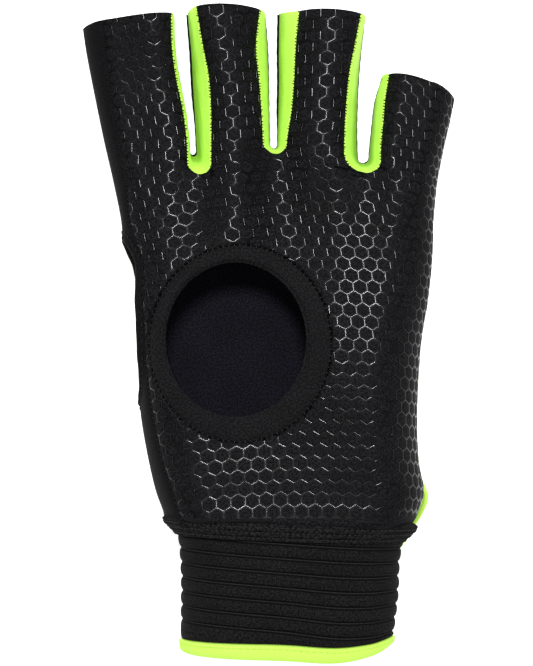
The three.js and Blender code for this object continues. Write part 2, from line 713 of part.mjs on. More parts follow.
/** The hand guard's outline, anticlockwise. */
function guardOutline() {
  const right = GUARD.map((row) => new THREE.Vector3(row.right, row.y, 0));
  const left = GUARD.map((row) => new THREE.Vector3(row.left, row.y, 0)).reverse();
  const outline = new THREE.CatmullRomCurve3([...right, ...left], true, 'centripetal');
  return outline.getSpacedPoints(52).slice(0, -1);
}

/** Height of the hand guard, which thins towards the wrist. */
function guardTop(p) {
  return lerp(GUARD_WRIST_TOP, GUARD_TOP, smoothstep(p.y, GUARD_THIN_TO, GUARD_THIN_FROM));
}

/** The foam guard on the back of the hand, inside its edging. */
function handGuard() {
  return pad(insetLoop(guardOutline(), EDGING_WIDTH + SEAM_GAP), guardTop, GUARD_BEVEL);
}

/** The lime edging round the guard. */
function guardEdging() {
  const outline = guardOutline();
  const edge = (p) => guardTop(p) - EDGING_TOP_DROP;
  const section = [
    { inset: EDGING_WIDTH, z: () => EDGING_BASE },
    { inset: EDGING_WIDTH, z: (p) => edge(p) - 0.4 },
    { inset: EDGING_WIDTH * 0.6, z: edge },
    { inset: 0.1, z: (p) => edge(p) - 0.6 },
    { inset: 0, z: () => EDGING_BASE + 0.9 },
    { inset: EDGING_WIDTH * 0.5, z: () => EDGING_BASE },
  ];
  const lines = section.map(({ inset, z }) => insetLoop(outline, inset).map((p) => p.clone().setZ(z(p))));
  return loopSolid(outline.map((_, i) => lines.map((line) => line[i])));
}

/** The foam pad behind one finger, with its corners cut off. */
function fingerPad(finger) {
  const { from, to, corner } = PAD_ENDS;
  const shares = [from, ...steps(from + corner, to - corner, 4), to];
  const ends = shares.map((share) => {
    const [start, end] = rowEnds(finger, 1 + share, 'back', 0);
    const inset = PAD_INSET * (share === from || share === to ? 2 : 1);
    return {
      left: new THREE.Vector3(start.x + inset, start.y, 0),
      right: new THREE.Vector3(end.x - inset, end.y, 0),
    };
  });
  const outline = [...ends.map((e) => e.right), ...ends.map((e) => e.left).reverse()];
  return pad(outline, () => PAD_TOP, PAD_BEVEL);
}

const group = new THREE.Group();
group.position.set(-CENTRE.x, -CENTRE.y, 0);

/** Adds a solid to the glove as a named mesh. */
function place(name, body, material) {
  const mesh = body.getMesh();
  const geometry = new THREE.BufferGeometry();
  geometry.setAttribute('position', new THREE.BufferAttribute(mesh.vertProperties, 3));
  geometry.setIndex(new THREE.BufferAttribute(mesh.triVerts, 1));
  geometry.computeVertexNormals();
  const part = new THREE.Mesh(geometry, material);
  part.name = name;
  group.add(part);
}

const gripCloth = new THREE.MeshStandardMaterial({ color: 0x141416, roughness: 0.75, metalness: 0 });
const stretchCloth = new THREE.MeshStandardMaterial({ color: 0x111113, roughness: 0.9, metalness: 0 });
const limeCloth = new THREE.MeshStandardMaterial({ color: 0xb4fb14, roughness: 0.75, metalness: 0 });
const ribKnit = new THREE.MeshStandardMaterial({ color: 0x101012, roughness: 0.95, metalness: 0 });
const ringCloth = new THREE.MeshStandardMaterial({ color: 0x1a1a1b, roughness: 0.95, metalness: 0 });
const foam = new THREE.MeshStandardMaterial({ color: 0x18181a, roughness: 0.85, metalness: 0 });

const palmCutter = panel('palm', PALM_WALL, SEAM_GAP);
const backCutter = panel('back', BACK_WALL, SEAM_GAP);
const thumbOpening = thumbCutter(THUMB_BINDING_RADIUS + SEAM_GAP);

const palm = panel('palm', PALM_WALL).subtract(windowCutter()).subtract(thumbOpening);
const back = panel('back', BACK_WALL).subtract(palmCutter).subtract(thumbOpening);

place('palm_panel', palm, gripCloth);
place('back_shell', back, stretchCloth);
NOTCHES.forEach((notch, index) => {
  const strip = largest(fourchette(index).subtract(palmCutter).subtract(backCutter));
  place(`fourchette_${notch.name}`, strip, limeCloth);
});
place('palm_window_ring', windowRing(), ringCloth);
place('thumb_hole_binding', thumbBinding(), stretchCloth);
place('ribbed_cuff', cuff(), ribKnit);
place('cuff_hem', hem(), limeCloth);
place('hand_guard', handGuard(), foam);
place('guard_edging', guardEdging(), limeCloth);
FINGERS.forEach((finger, index) => place(`finger_pad_${finger.name}`, fingerPad(index), foam));

export default group;
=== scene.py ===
"""A left-hand field hockey glove with half-length open fingers, palm up, dressed round its CAD part.

The glove's forms are worked out in millimetres in its plan: +Z up, X from the thumb side to the
little finger side, Y from the wrist to the fingertips. They repeat the named values of the CAD
part. A finished piece is moved to the part's frame, in metres, when its mesh is made.
"""
import logging
from collections.abc import Callable
from dataclasses import dataclass, field
from enum import Enum

import bpy
import numpy as np
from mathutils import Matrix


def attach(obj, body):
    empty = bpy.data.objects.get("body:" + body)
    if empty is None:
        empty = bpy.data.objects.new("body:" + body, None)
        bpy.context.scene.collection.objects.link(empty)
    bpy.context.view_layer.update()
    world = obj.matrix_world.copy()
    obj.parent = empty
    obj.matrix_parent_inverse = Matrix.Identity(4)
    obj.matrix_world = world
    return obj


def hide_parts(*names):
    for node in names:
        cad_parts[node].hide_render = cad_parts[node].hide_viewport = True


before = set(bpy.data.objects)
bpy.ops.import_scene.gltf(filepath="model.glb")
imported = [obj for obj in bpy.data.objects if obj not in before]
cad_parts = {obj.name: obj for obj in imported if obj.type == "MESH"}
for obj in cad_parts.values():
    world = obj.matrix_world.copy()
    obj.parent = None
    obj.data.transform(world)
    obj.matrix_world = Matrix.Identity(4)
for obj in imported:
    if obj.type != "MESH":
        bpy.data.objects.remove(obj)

Array = np.ndarray
LOG = logging.getLogger("glove")
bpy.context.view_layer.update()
CENTRE = np.array([0.7, 1.2, 0.0])
METRES = 0.001
PATTERN_SCALE = 0.01
BODY = "root"
HEXAGON_WIDTH = 4.43
RIB_START = -64.9
RIB_PITCH = 4.47


class Layer(Enum):
    """The two shells of the glove: the palm, which faces up, and the back, which lies below."""

    PALM = "palm"
    BACK = "back"


class Side(Enum):
    """The two sides of a gap between fingers: A towards the thumb, B towards the little finger."""

    A = "A"
    B = "B"


class Slot(Enum):
    """The record's material slots."""

    GRIP = "grip_fabric"
    STRETCH = "stretch_fabric"
    LIME = "lime_fabric"
    WINDOW = "window_band"
    CUFF = "cuff_knit"
    FOAM = "guard_foam"


def lerp(start: Array, end: Array, share: Array) -> Array:
    """The value that lies a share of the way from start to end."""
    return start + (end - start) * share


def smoothstep(value: Array, low: float, high: float) -> Array:
    """0 below low, 1 above high, and an even S-curve between them."""
    t = np.clip((value - low) / (high - low), 0.0, 1.0)
    return t * t * (3.0 - 2.0 * t)


def unit(vectors: Array) -> Array:
    """The vectors at length 1."""
    return vectors / np.maximum(np.linalg.norm(vectors, axis=-1, keepdims=True), 1e-9)


def stacked(*parts: Array) -> Array:
    """Coordinates of equal or broadcast shapes as one array with a last axis."""
    return np.stack(np.broadcast_arrays(*parts), axis=-1)


def superellipse(cos: Array, sin: Array, power: float) -> Array:
    """How far out a superellipse lies in a direction: (|cos|^p + |sin|^p)^(-1/p)."""
    return (np.abs(cos) ** power + np.abs(sin) ** power) ** (-1 / power)


@dataclass(frozen=True)
class Curves:
    """Smooth curves through the rows of a table, whose first column is y in mm."""

    rows: tuple[tuple[float, ...], ...]

    def at(self, y: Array, column: int) -> Array:
        """Reads a column at y: a cubic Hermite curve whose slopes join the neighbouring rows.

        Args:
            y: places in mm; past the table's ends the end rows hold.
            column: which column of the table.

        Returns:
            The column's value at each place.
        """
        table = np.array(sorted(self.rows), float)
        ys, values = table[:, 0], table[:, column]
        slopes = np.empty_like(values)
        slopes[1:-1] = (values[2:] - values[:-2]) / (ys[2:] - ys[:-2])
        slopes[0] = (values[1] - values[0]) / (ys[1] - ys[0])
        slopes[-1] = (values[-1] - values[-2]) / (ys[-1] - ys[-2])
        held = np.clip(y, ys[0], ys[-1])
        i = np.clip(np.searchsorted(ys, held, side="right") - 1, 0, len(ys) - 2)
        span = ys[i + 1] - ys[i]
        t = (held - ys[i]) / span
        return (
            (2 * t**3 - 3 * t**2 + 1) * values[i]
            + (t**3 - 2 * t**2 + t) * span * slopes[i]
            + (3 * t**2 - 2 * t**3) * values[i + 1]
            + (t**3 - t**2) * span * slopes[i + 1]
        )


@dataclass(frozen=True)
class Ripple:
    """Soft unevenness of cloth: a sum of sine waves with seeded directions and phases."""

    height: float
    longest: float
    shortest: float
    seed: int
    waves: int = 9

    def at(self, x: Array, y: Array) -> Array:
        """Height in mm at each place: every wave is as high as its length is long.

        Args:
            x: first coordinate in mm.
            y: second coordinate in mm.

        Returns:
            The summed waves.
        """
        rng = np.random.default_rng(self.seed)
        turn = rng.uniform(0, np.pi, self.waves)
        phase = rng.uniform(0, 2 * np.pi, self.waves)
        length = np.geomspace(self.longest, self.shortest, self.waves)
        x, y = np.broadcast_arrays(x, y)
        along = x[..., None] * np.cos(turn) + y[..., None] * np.sin(turn)
        waves = np.sin(2 * np.pi * along / length + phase) * (length / self.longest)
        return self.height * waves.sum(-1) / np.sqrt(self.waves)


@dataclass(frozen=True)
class Mound:
    """A soft mound or hollow of the palm, with the profile of a bell curve."""

    x: float
    y: float
    rx: float
    ry: float
    height: float

    def at(self, x: Array, y: Array) -> Array:
        """Height in mm at each place."""
        return self.height * np.exp(-(((x - self.x) / self.rx) ** 2) - ((y - self.y) / self.ry) ** 2)


@dataclass(frozen=True)
class Notch:
    """The gap between two fingers: its ends on the palm and back, and its edges along y."""

    name: str
    palm_root: tuple[float, float]
    back_root: tuple[float, float]
    wrist_x: float
    edges: Curves

    def root(self, layer: Layer) -> tuple[float, float]:
        """x and y of the gap's end on a layer."""
        return self.palm_root if layer is Layer.PALM else self.back_root

    def edge(self, y: Array, layer: Layer, side: Side) -> Array:
        """x of one edge of the gap at y, on a layer."""
        return self.edges.at(y, 1 + 2 * (layer is Layer.BACK) + (side is Side.B))


@dataclass(frozen=True)
class Finger:
    """A finger stall: its height at the tip, and where its open end lies."""

    name: str
    crown: float
    bow: float
    palm_ends: tuple[float, float]
    back_ends: tuple[float, float]
    outline_end: float

    def ends(self, layer: Layer) -> tuple[float, float]:
        """y of the open end on its thumb side and on its little finger side."""
        return self.palm_ends if layer is Layer.PALM else self.back_ends


NOTCHES = (
    Notch("index_middle", (-20.5, 49.5), (-23.6, 57.0), -11.0, Curves((
        (50, -24.2, -17.6, -24.4, -22.7), (60, -24.5, -17.6, -24.6, -22.7),
        (70, -25.8, -17.7, -25.7, -23.3), (80, -27.9, -18.4, -27.5, -23.9),
        (90, -29.2, -20.3, -29.1, -24.4), (102, -29.4, -22.3, -29.6, -25.4)))),
    Notch("middle_ring", (3.0, 56.0), (2.4, 59.0), 7.0, Curves((
        (50, -0.3, 5.8, 1.4, 3.3), (60, -0.7, 6.0, 1.3, 3.3), (70, -1.2, 7.5, 1.0, 3.5),
        (80, -2.0, 8.3, 0.9, 3.7), (90, -2.9, 8.8, 0.6, 3.6), (102, -1.6, 10.0, -0.3, 3.8)))),
    Notch("ring_little", (31.2, 49.8), (30.9, 54.4), 26.0, Curves((
        (50, 24.5, 35.2, 29.4, 32.3), (58, 24.6, 35.3, 29.2, 32.7), (66, 24.9, 36.1, 29.1, 33.5),
        (74, 25.5, 36.9, 29.3, 34.5), (82, 26.4, 38.2, 29.7, 36.8), (90, 28.0, 39.0, 30.4, 38.0),
        (101, 30.2, 40.0, 31.7, 39.0)))),
)
FINGERS = (
    Finger("index", 25.0, 0.3, (98.1, 100.2), (97.4, 100.0), 96.0),
    Finger("middle", 26.5, 0.9, (102.1, 101.6), (102.2, 102.0), 0.0),
    Finger("ring", 26.0, 0.6, (101.2, 100.1), (102.2, 101.0), 0.0),
    Finger("little", 23.8, 0.7, (81.5, 78.7), (82.0, 78.4), 73.9),
)


@dataclass(frozen=True)
class Pull:
    """How printed cloth is pulled about a place: moved, stretched and bowed.

    Each pair is a movement in mm along x and y: the even shift, then what is added per 50 mm
    along x and along y, then per 50 mm squared.
    """

    x: float
    y: float
    shift: tuple[float, float]
    by_x: tuple[float, float]
    by_y: tuple[float, float]
    by_xx: tuple[float, float] = (0.0, 0.0)
    by_xy: tuple[float, float] = (0.0, 0.0)
    by_yy: tuple[float, float] = (0.0, 0.0)

    def at(self, place: Array) -> Array:
        """Movement of places whose x and y are on the last axis."""
        x, y = (place[..., 0] - self.x) / 50, (place[..., 1] - self.y) / 50
        terms = stacked(1 + 0 * x, x, y, x * x, x * y, y * y)
        pairs = (self.shift, self.by_x, self.by_y, self.by_xx, self.by_xy, self.by_yy)
        return terms @ np.array(pairs)


@dataclass(frozen=True)
class Form:
    """The glove's outer form, from the same values as the CAD part, with cloth's unevenness."""

    hand_base: float = 7.3
    finger_base: float = 5.3
    hand_side: float = 18.0
    finger_side: float = 15.0
    root_crown: float = 28.0
    edge_drop: float = 3.2
    back_rise: float = 3.2
    hand_roll: float = 16.0
    finger_roll: float = 9.0
    under_seam_angle: float = np.radians(125.0)
    wrist_y: float = -61.0
    valley_half_width: float = 12.0
    valley_fades_from: float = 0.62
    edge_power: float = 2.2
    thumb_root: tuple[float, float] = (-50.0, 46.0)
    little_root: tuple[float, float] = (58.0, 44.0)
    skin: Curves = Curves((
        (-61, -29.5, -22.5, 44.5, 36.8), (-59, -31.9, -25.5, 46.6, 38.8),
        (-56, -32.6, -27.0, 47.8, 38.8), (-50, -34.8, -28.8, 49.6, 38.4),
        (-40, -37.2, -32.3, 48.0, 39.0), (-27, -39.5, -35.2, 47.5, 39.4),
        (-15, -40.7, -37.0, 47.9, 39.4), (-2, -42.7, -38.3, 48.9, 39.2),
        (10, -44.0, -39.2, 50.9, 38.6), (22, -43.6, -39.6, 52.2, 37.6),
        (29.5, -45.3, -41.4, 52.6, 36.8), (36, -46.0, -43.2, 52.8, 36.0),
        (48, -48.5, -43.9, 54.1, 34.0), (60, -51.3, -46.2, 56.5, 32.0),
        (70, -53.4, -48.2, 58.8, 32.0), (80, -55.4, -49.3, 60.5, 32.0),
        (90, -57.3, -50.5, 61.4, 32.0), (100, -58.7, -51.8, 62.0, 32.0)))
    relief: tuple[Mound, ...] = (Mound(-9, -3, 32, 34, -5.0), Mound(-38, 0, 26, 60, -2.0))
    rumples: tuple[Mound, ...] = (Mound(-47, 64, 20, 34, -2.6), Mound(-30, 99, 13, 15, 2.6),
                                  Mound(0, 93, 19, 29, -2.6), Mound(32, 45, 13, 27, 2.6),
                                  Mound(-16, 21, 13, 63, 2.6), Mound(11, 25, 14, 23, -2.6),
                                  Mound(33, -1, 13, 23, -2.6), Mound(-11, -33, 44, 15, -2.6))
    ripple: Ripple = Ripple(0.03, 46.0, 13.0, seed=5)

    def to_finger(self, y: Array) -> Array:
        """0 on the hand, 1 on the fingers."""
        return smoothstep(y, 20.0, 60.0)

    def roll_width(self, y: Array) -> Array:
        """How far in from the outline a side starts to roll over."""
        return lerp(self.hand_roll, self.finger_roll, self.to_finger(y))

    def side_height(self, y: Array) -> Array:
        """Height of the outline above the floor."""
        return lerp(self.hand_side, self.finger_side, self.to_finger(y))

    def base_height(self, y: Array) -> Array:
        """Height of the back's underside above the floor."""
        return lerp(self.hand_base, self.finger_base, smoothstep(y, 42.0, 56.0))

    def outline(self, y: Array, finger: int) -> Array:
        """x of the outline on the index finger's side or the little finger's side."""
        return self.skin.at(y, 1 if finger == 0 else 3)

    def root_line(self, x: Array, layer: Layer) -> Array:
        """y of the finger roots at x: straight lines through the ends of the gaps."""
        ends = np.array([self.thumb_root, *(n.root(layer) for n in NOTCHES), self.little_root])
        i = np.clip(np.searchsorted(ends[:, 0], x) - 1, 0, len(ends) - 2)
        share = (x - ends[i, 0]) / (ends[i + 1, 0] - ends[i, 0])
        return lerp(ends[i, 1], ends[i + 1, 1], share)

    def hand_share(self, x: Array, y: Array, layer: Layer) -> Array:
        """How far along the hand a place is: 0 at the wrist, 1 at the finger roots."""
        return np.clip((y - self.wrist_y) / (self.root_line(x, layer) - self.wrist_y), 0, 1)

    def valley_x(self, notch: Notch, share: Array, layer: Layer) -> Array:
        """x of the line that runs from the wrist to the end of a gap between two fingers."""
        return lerp(notch.wrist_x, notch.root(layer)[0], smoothstep(share, 0, 1))

    def valley(self, x: Array, y: Array, layer: Layer) -> Array:
        """How much of the valley between two fingers there is at a place on the hand, 0 to 1."""
        share = self.hand_share(x, y, layer)
        away = [np.abs(x - self.valley_x(notch, share, layer)) for notch in NOTCHES]
        reach = np.clip(np.minimum.reduce(away) / self.valley_half_width, 0, 1)
        return smoothstep(share, self.valley_fades_from, 1) * (1 + np.cos(np.pi * reach)) / 2

    def hand_top(self, x: Array, y: Array) -> Array:
        """Height of the palm over the hand, before its sides roll over."""
        blend = smoothstep(self.hand_share(x, y, Layer.PALM), 0.45, 1)
        z = self.skin.at(y, 4) + sum(mound.at(x, y) for mound in self.relief)
        dip = self.edge_drop * self.valley(x, y, Layer.PALM)
        return lerp(z, self.root_crown, blend) - dip + self.unevenness(x, y)

    def unevenness(self, x: Array, y: Array) -> Array:
        """How far the palm's cloth lies above or below its even form."""
        return self.ripple.at(x, y) + sum(mound.at(x, y) for mound in self.rumples)

    def palm_height(self, x: Array, y: Array) -> Array:
        """Height of the palm's outer face on the hand, with its sides rolled over."""
        roll, side = self.roll_width(y), self.side_height(y)
        left = np.clip((self.skin.at(y, 1) + roll - x) / roll, 0, 1)
        right = np.clip((x - self.skin.at(y, 3) + roll) / roll, 0, 1)
        turn = np.maximum(left, right)
        return side + (self.hand_top(x, y) - side) * np.sqrt(1 - turn * turn)

    def column_edge(self, notch: Notch, side: Side, row: Array, layer: Layer) -> tuple[Array, Array]:
        """The line between two fingers' columns: one line on the hand, two edges on the fingers.

        Args:
            notch: the gap that the line leads to.
            side: which of the gap's edges.
            row: 0 at the wrist, 1 at the finger roots, 2 at the fingertips.
            layer: palm or back.

        Returns:
            x and y of the line at each row. A finger's edge leaves the gap's end on a quarter
            circle as wide as the gap and then follows the gap's table.
        """
        finger = FINGERS[NOTCHES.index(notch) + (side is Side.B)]
        root_x, root_y = notch.root(layer)
        tip = finger.ends(layer)[0 if side is Side.B else 1]
        y = lerp(root_y, tip, np.clip(row - 1, 0, 1))
        straight = notch.edge(y, layer, side)
        radius = np.maximum(np.abs(straight - root_x), 0.4)
        climb = np.clip((y - root_y) / radius, 0, 1)
        x = lerp(root_x, straight, np.sqrt(climb * (2 - climb)))
        hand_x = self.valley_x(notch, np.clip(row, 0, 1), layer)
        hand_y = lerp(self.wrist_y, root_y, np.clip(row, 0, 1))
        return np.where(row > 1, x, hand_x), np.where(row > 1, y, hand_y)

    def outer_y(self, finger: int, row: Array, angle: Array) -> Array:
        """y of the outer side of the index or little finger at a row and an angle round it."""
        root = (self.thumb_root if finger == 0 else self.little_root)[1]
        end = 0 if finger == 0 else 1
        stall = FINGERS[finger]
        flat = np.where(angle < np.pi / 2, stall.palm_ends[end], stall.back_ends[end])
        tip = lerp(flat, stall.outline_end, np.abs(np.sin(angle)) ** 1.5)
        on_hand = lerp(self.wrist_y, root, np.clip(row, 0, 1))
        return np.where(row > 1, lerp(root, tip, np.clip(row - 1, 0, 1)), on_hand)

    def row_ends(self, finger: int, row: Array, layer: Layer) -> tuple[Array, Array]:
        """The two ends of a finger's row of columns, before the sides roll over.

        Args:
            finger: which finger, from 0 for the index to 3 for the little finger.
            row: 0 at the wrist, 1 at the finger roots, 2 at the fingertips.
            layer: palm or back.

        Returns:
            The first and the last point, each with x and y on its last axis.
        """
        flat = 0.0 if layer is Layer.PALM else np.pi
        y = self.outer_y(finger, row, flat)
        if finger == 0:
            start = (self.outline(y, 0) + self.roll_width(y), y)
        else:
            start = self.column_edge(NOTCHES[finger - 1], Side.B, row, layer)
        if finger == len(FINGERS) - 1:
            end = (self.outline(y, finger) - self.roll_width(y), y)
        else:
            end = self.column_edge(NOTCHES[finger], Side.A, row, layer)
        return stacked(*start), stacked(*end)

    def surface(self, finger: int, across: Array, row: Array, layer: Layer) -> Array:
        """Points of a finger's columns: straight across between its row's two ends.

        Args:
            finger: which finger.
            across: 0 to 1 from the thumb side to the little finger side.
            row: 0 at the wrist, 1 at the finger roots, 2 at the fingertips.
            layer: palm or back.

        Returns:
            Points in mm. A finger's height falls off towards its sewn edges with a power of
            the distance from its middle, and blends into the hand's valleys at the root.
        """
        stall = FINGERS[finger]
        start, end = self.row_ends(finger, row, layer)
        along = np.clip(row - 1, 0, 1)
        x = lerp(start[..., 0], end[..., 0], across)
        y = lerp(start[..., 1], end[..., 1], across)
        if layer is Layer.PALM:
            y = y + stall.bow * along**3 * 4 * across * (1 - across)
        middle = 2 * across - 1
        share = {0: np.clip(middle, 0, 1), 3: np.clip(-middle, 0, 1)}.get(finger, np.abs(middle))
        sewn = share**self.edge_power
        dip = lerp(self.valley(x, y, layer), sewn, smoothstep(along, 0, 0.2))
        if layer is Layer.BACK:
            return stacked(x, y, self.base_height(y) + self.back_rise * dip)
        stall_top = lerp(self.root_crown, stall.crown, along) - self.edge_drop * dip
        stall_top = stall_top + self.unevenness(x, y)
        return stacked(x, y, np.where(row <= 1, self.hand_top(x, y), stall_top))

    def roll(self, finger: int, angle: Array, row: Array) -> Array:
        """Points where an outer side rolls over: a quarter ellipse above and one below.

        Args:
            finger: 0 or 3, the fingers with an outer side.
            angle: 0 where the palm starts to roll, a quarter turn at the outline, and a half
                turn where the side reaches the back.
            row: 0 at the wrist, 1 at the finger roots, 2 at the fingertips.

        Returns:
            Points in mm.
        """
        y = self.outer_y(finger, row, angle)
        width, side = self.roll_width(y), self.side_height(y)
        inward = 1 if finger == 0 else -1
        outline = self.outline(y, finger)
        inner = outline + inward * width
        x = outline + inward * width * (1 - np.sin(angle))
        along = np.clip(row - 1, 0, 1)
        stall_top = lerp(self.root_crown, FINGERS[finger].crown, along) + self.unevenness(inner, y)
        top = np.where(row <= 1, self.hand_top(inner, y), stall_top)
        reach = np.where(angle < np.pi / 2, top - side, side - self.base_height(y))
        return stacked(x, y, side + reach * np.cos(angle))

    def seam_angle(self, y: Array) -> Array:
        """The angle at which the thumb side's seam lies on the rolled side."""
        inset = (self.skin.at(y, 2) - self.skin.at(y, 1)) / self.roll_width(y)
        return np.arcsin(np.clip(1 - inset, 0, 1))

    def side_x(self, y: Array, z: Array) -> Array:
        """x of the outer face of the thumb side at a place on it."""
        side, width = self.side_height(y), self.roll_width(y)
        outline = self.outline(y, 0)
        top = self.hand_top(outline + width, y)
        reach = np.where(z > side, top - side, side - self.base_height(y))
        rise = np.clip(np.abs(z - side) / reach, 0, 1)
        return outline + width * (1 - np.sqrt(1 - rise * rise))


FORM = Form()


@dataclass(frozen=True)
class Ellipse:
    """A level ellipse in mm."""

    x: float
    y: float
    rx: float
    ry: float

    def at(self, turn: Array) -> Array:
        """x and y at an angle round it."""
        return stacked(self.x + self.rx * np.cos(turn), self.y + self.ry * np.sin(turn))

    def share(self, x: Array, y: Array) -> Array:
        """How far out a place is: 0 at the centre, 1 on the ellipse."""
        return np.hypot((x - self.x) / self.rx, (y - self.y) / self.ry)

    def clearance(self, x: Array, y: Array) -> Array:
        """Rough distance in mm of a place outside the ellipse."""
        return (self.share(x, y) - 1) * (self.rx + self.ry) / 2


WINDOW = Ellipse(-9.5, -2.0, 21.7, 23.8)
RING_OUTSIDE = Ellipse(-8.2, -3.2, 28.0, 30.3)


def grid_quads(rows: int, columns: int, flip: bool = False) -> Array:
    """Quads of a grid of vertices that are numbered row by row.

    Args:
        rows: number of rows of vertices.
        columns: number of vertices in a row.
        flip: turns each face over.

    Returns:
        Four vertex numbers for each face.
    """
    i, j = np.meshgrid(np.arange(rows - 1), np.arange(columns - 1), indexing="ij")
    first = (i * columns + j).ravel()
    quads = np.stack([first, first + 1, first + columns + 1, first + columns], axis=-1)
    return quads[:, ::-1] if flip else quads


@dataclass
class Surface:
    """Vertices in mm, quads, and each vertex's pattern place in mm."""

    points: Array
    quads: Array
    pattern: Array

    @classmethod
    def grid(cls, points: Array, pattern: Array, flip: bool = False) -> "Surface":
        """A surface from a grid of points, with as many pattern places.

        Args:
            points: rows x columns x 3, in mm.
            pattern: rows x columns x 2, in mm.
            flip: turns the faces over.

        Returns:
            The surface.
        """
        rows, columns = points.shape[:2]
        pattern = np.broadcast_to(pattern, (rows, columns, 2))
        return cls(points.reshape(-1, 3), grid_quads(rows, columns, flip), pattern.reshape(-1, 2))

    def joined(self, *others: "Surface") -> "Surface":
        """This surface and others as one."""
        parts = [self, *others]
        starts = np.cumsum([0, *(len(p.points) for p in parts[:-1])])
        return Surface(
            np.concatenate([p.points for p in parts]),
            np.concatenate([p.quads + start for p, start in zip(parts, starts)]),
            np.concatenate([p.pattern for p in parts]),
        )

    def opened(self, share: Array, onto_rim: Callable[[Array, Array], Array]) -> "Surface":
        """Cuts an opening: whole faces inside it go, and corners inside it move to its rim.

        Args:
            share: how far out of the opening's middle each vertex lies, 1 on the rim.
            onto_rim: works out places on the rim from vertices and their shares.

        Returns:
            The surface with the opening.
        """
        quads = self.quads[(share[self.quads] >= 1).any(axis=1)]
        used = np.zeros(len(share), bool)
        used[quads.ravel()] = True
        move = used & (share < 1)
        self.points[move] = onto_rim(self.points[move], share[move])
        return Surface(self.points, quads, self.pattern)

    def piece(self, name: str, slot: Slot, finishes: list[bpy.types.Material]) -> bpy.types.Object:
        """Makes the surface a mesh object in the part's frame that rides on its body.

        Args:
            name: the piece's name.
            slot: the record's material slot; not used.
            finishes: the outer face's material, then the inner face's if it has its own.

        Returns:
            The object. Vertices at one place are merged, and a quad with two corners at one
            place becomes a triangle, so that poles and seams are closed.
        """
        keys = np.round(self.points, 3)
        _, first, merged = np.unique(keys, axis=0, return_index=True, return_inverse=True)
        corners = merged.reshape(-1)[self.quads]
        same = corners == np.roll(corners, -1, axis=1)
        whole = ~same.any(axis=1)
        faces, sources = [corners[whole]], [self.quads[whole]]
        for k in range(4):
            pinched = same[:, k] & (same.sum(axis=1) == 1)
            others = [c for c in range(4) if c != k]
            faces.append(corners[pinched][:, others])
            sources.append(self.quads[pinched][:, others])
        used, compact = np.unique(np.concatenate([f.ravel() for f in faces]), return_inverse=True)
        splits = np.cumsum([f.size for f in faces])[:-1]
        numbered = [c.reshape(f.shape) for c, f in zip(np.split(compact, splits), faces)]
        vertices = (self.points[first][used] - CENTRE) * METRES
        mesh = bpy.data.meshes.new(name)
        mesh.from_pydata(vertices, [], [face for f in numbered for face in f.tolist()])
        places = np.concatenate([self.pattern[s.ravel()] for s in sources]) * PATTERN_SCALE
        layer = mesh.uv_layers.new(name="Pattern")
        layer.data.foreach_set("uv", places.astype(np.float32).ravel())
        for finish in finishes:
            mesh.materials.append(finish)
        mesh.polygons.foreach_set("use_smooth", np.ones(len(mesh.polygons), bool))
        mesh.update()
        piece = bpy.data.objects.new(name, mesh)
        bpy.context.scene.collection.objects.link(piece)
        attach(piece, BODY)
        LOG.info("%s: %d vertices, %d faces", name, len(mesh.vertices), len(mesh.polygons))
        return piece


def thicken(piece: bpy.types.Object, wall: float, inner: int = 0) -> None:
    """Gives a sheet its thickness, inwards from its outer face.

    Args:
        piece: the sheet.
        wall: thickness in mm.
        inner: how many finishes further on the inner face's finish is.
    """
    solidify = piece.modifiers.new("Wall", "SOLIDIFY")
    solidify.thickness = wall * METRES
    solidify.offset = -1.0
    solidify.use_quality_normals = True
    solidify.material_offset = inner


def tube(centre: Array, away: Array, radius: Array, sides: int, closed: bool) -> Surface:
    """A round tube along a path: at each point, a circle in the plane across the path.

    Args:
        centre: the path's points in mm; a closed path repeats its first point at its end.
        away: a direction at each point that lies roughly across the path.
        radius: the tube's radius in mm, at each point or at each point and side.
        sides: how many faces go round it.
        closed: whether the path is closed; an open tube's ends are drawn in to a point.

    Returns:
        The surface. Its pattern runs along the path and round it, in mm.
    """
    if closed:
        run = np.concatenate([centre[-2:-1], centre, centre[1:2]])
        along = unit(run[2:] - run[:-2])
    else:
        along = unit(np.gradient(centre, axis=0))
    across = unit(away - along * (away * along).sum(-1, keepdims=True))
    third = np.cross(along, across)
    turn = np.linspace(0, 2 * np.pi, sides + 1)
    radius = np.broadcast_to(np.atleast_2d(radius).T if np.ndim(radius) == 1 else radius,
                             (len(centre), sides + 1))
    ring = across[:, None] * np.cos(turn)[:, None] + third[:, None] * np.sin(turn)[:, None]
    points = centre[:, None] + ring * radius[..., None]
    steps = np.linalg.norm(np.diff(centre, axis=0), axis=-1)
    length = np.concatenate([[0], np.cumsum(steps)])
    pattern = stacked(length[:, None], turn * float(np.mean(radius)))
    if not closed:
        points = np.concatenate([centre[:1, None].repeat(sides + 1, 1), points,
                                 centre[-1:, None].repeat(sides + 1, 1)])
        pattern = np.concatenate([pattern[:1], pattern, pattern[-1:]])
    return Surface.grid(points, pattern)


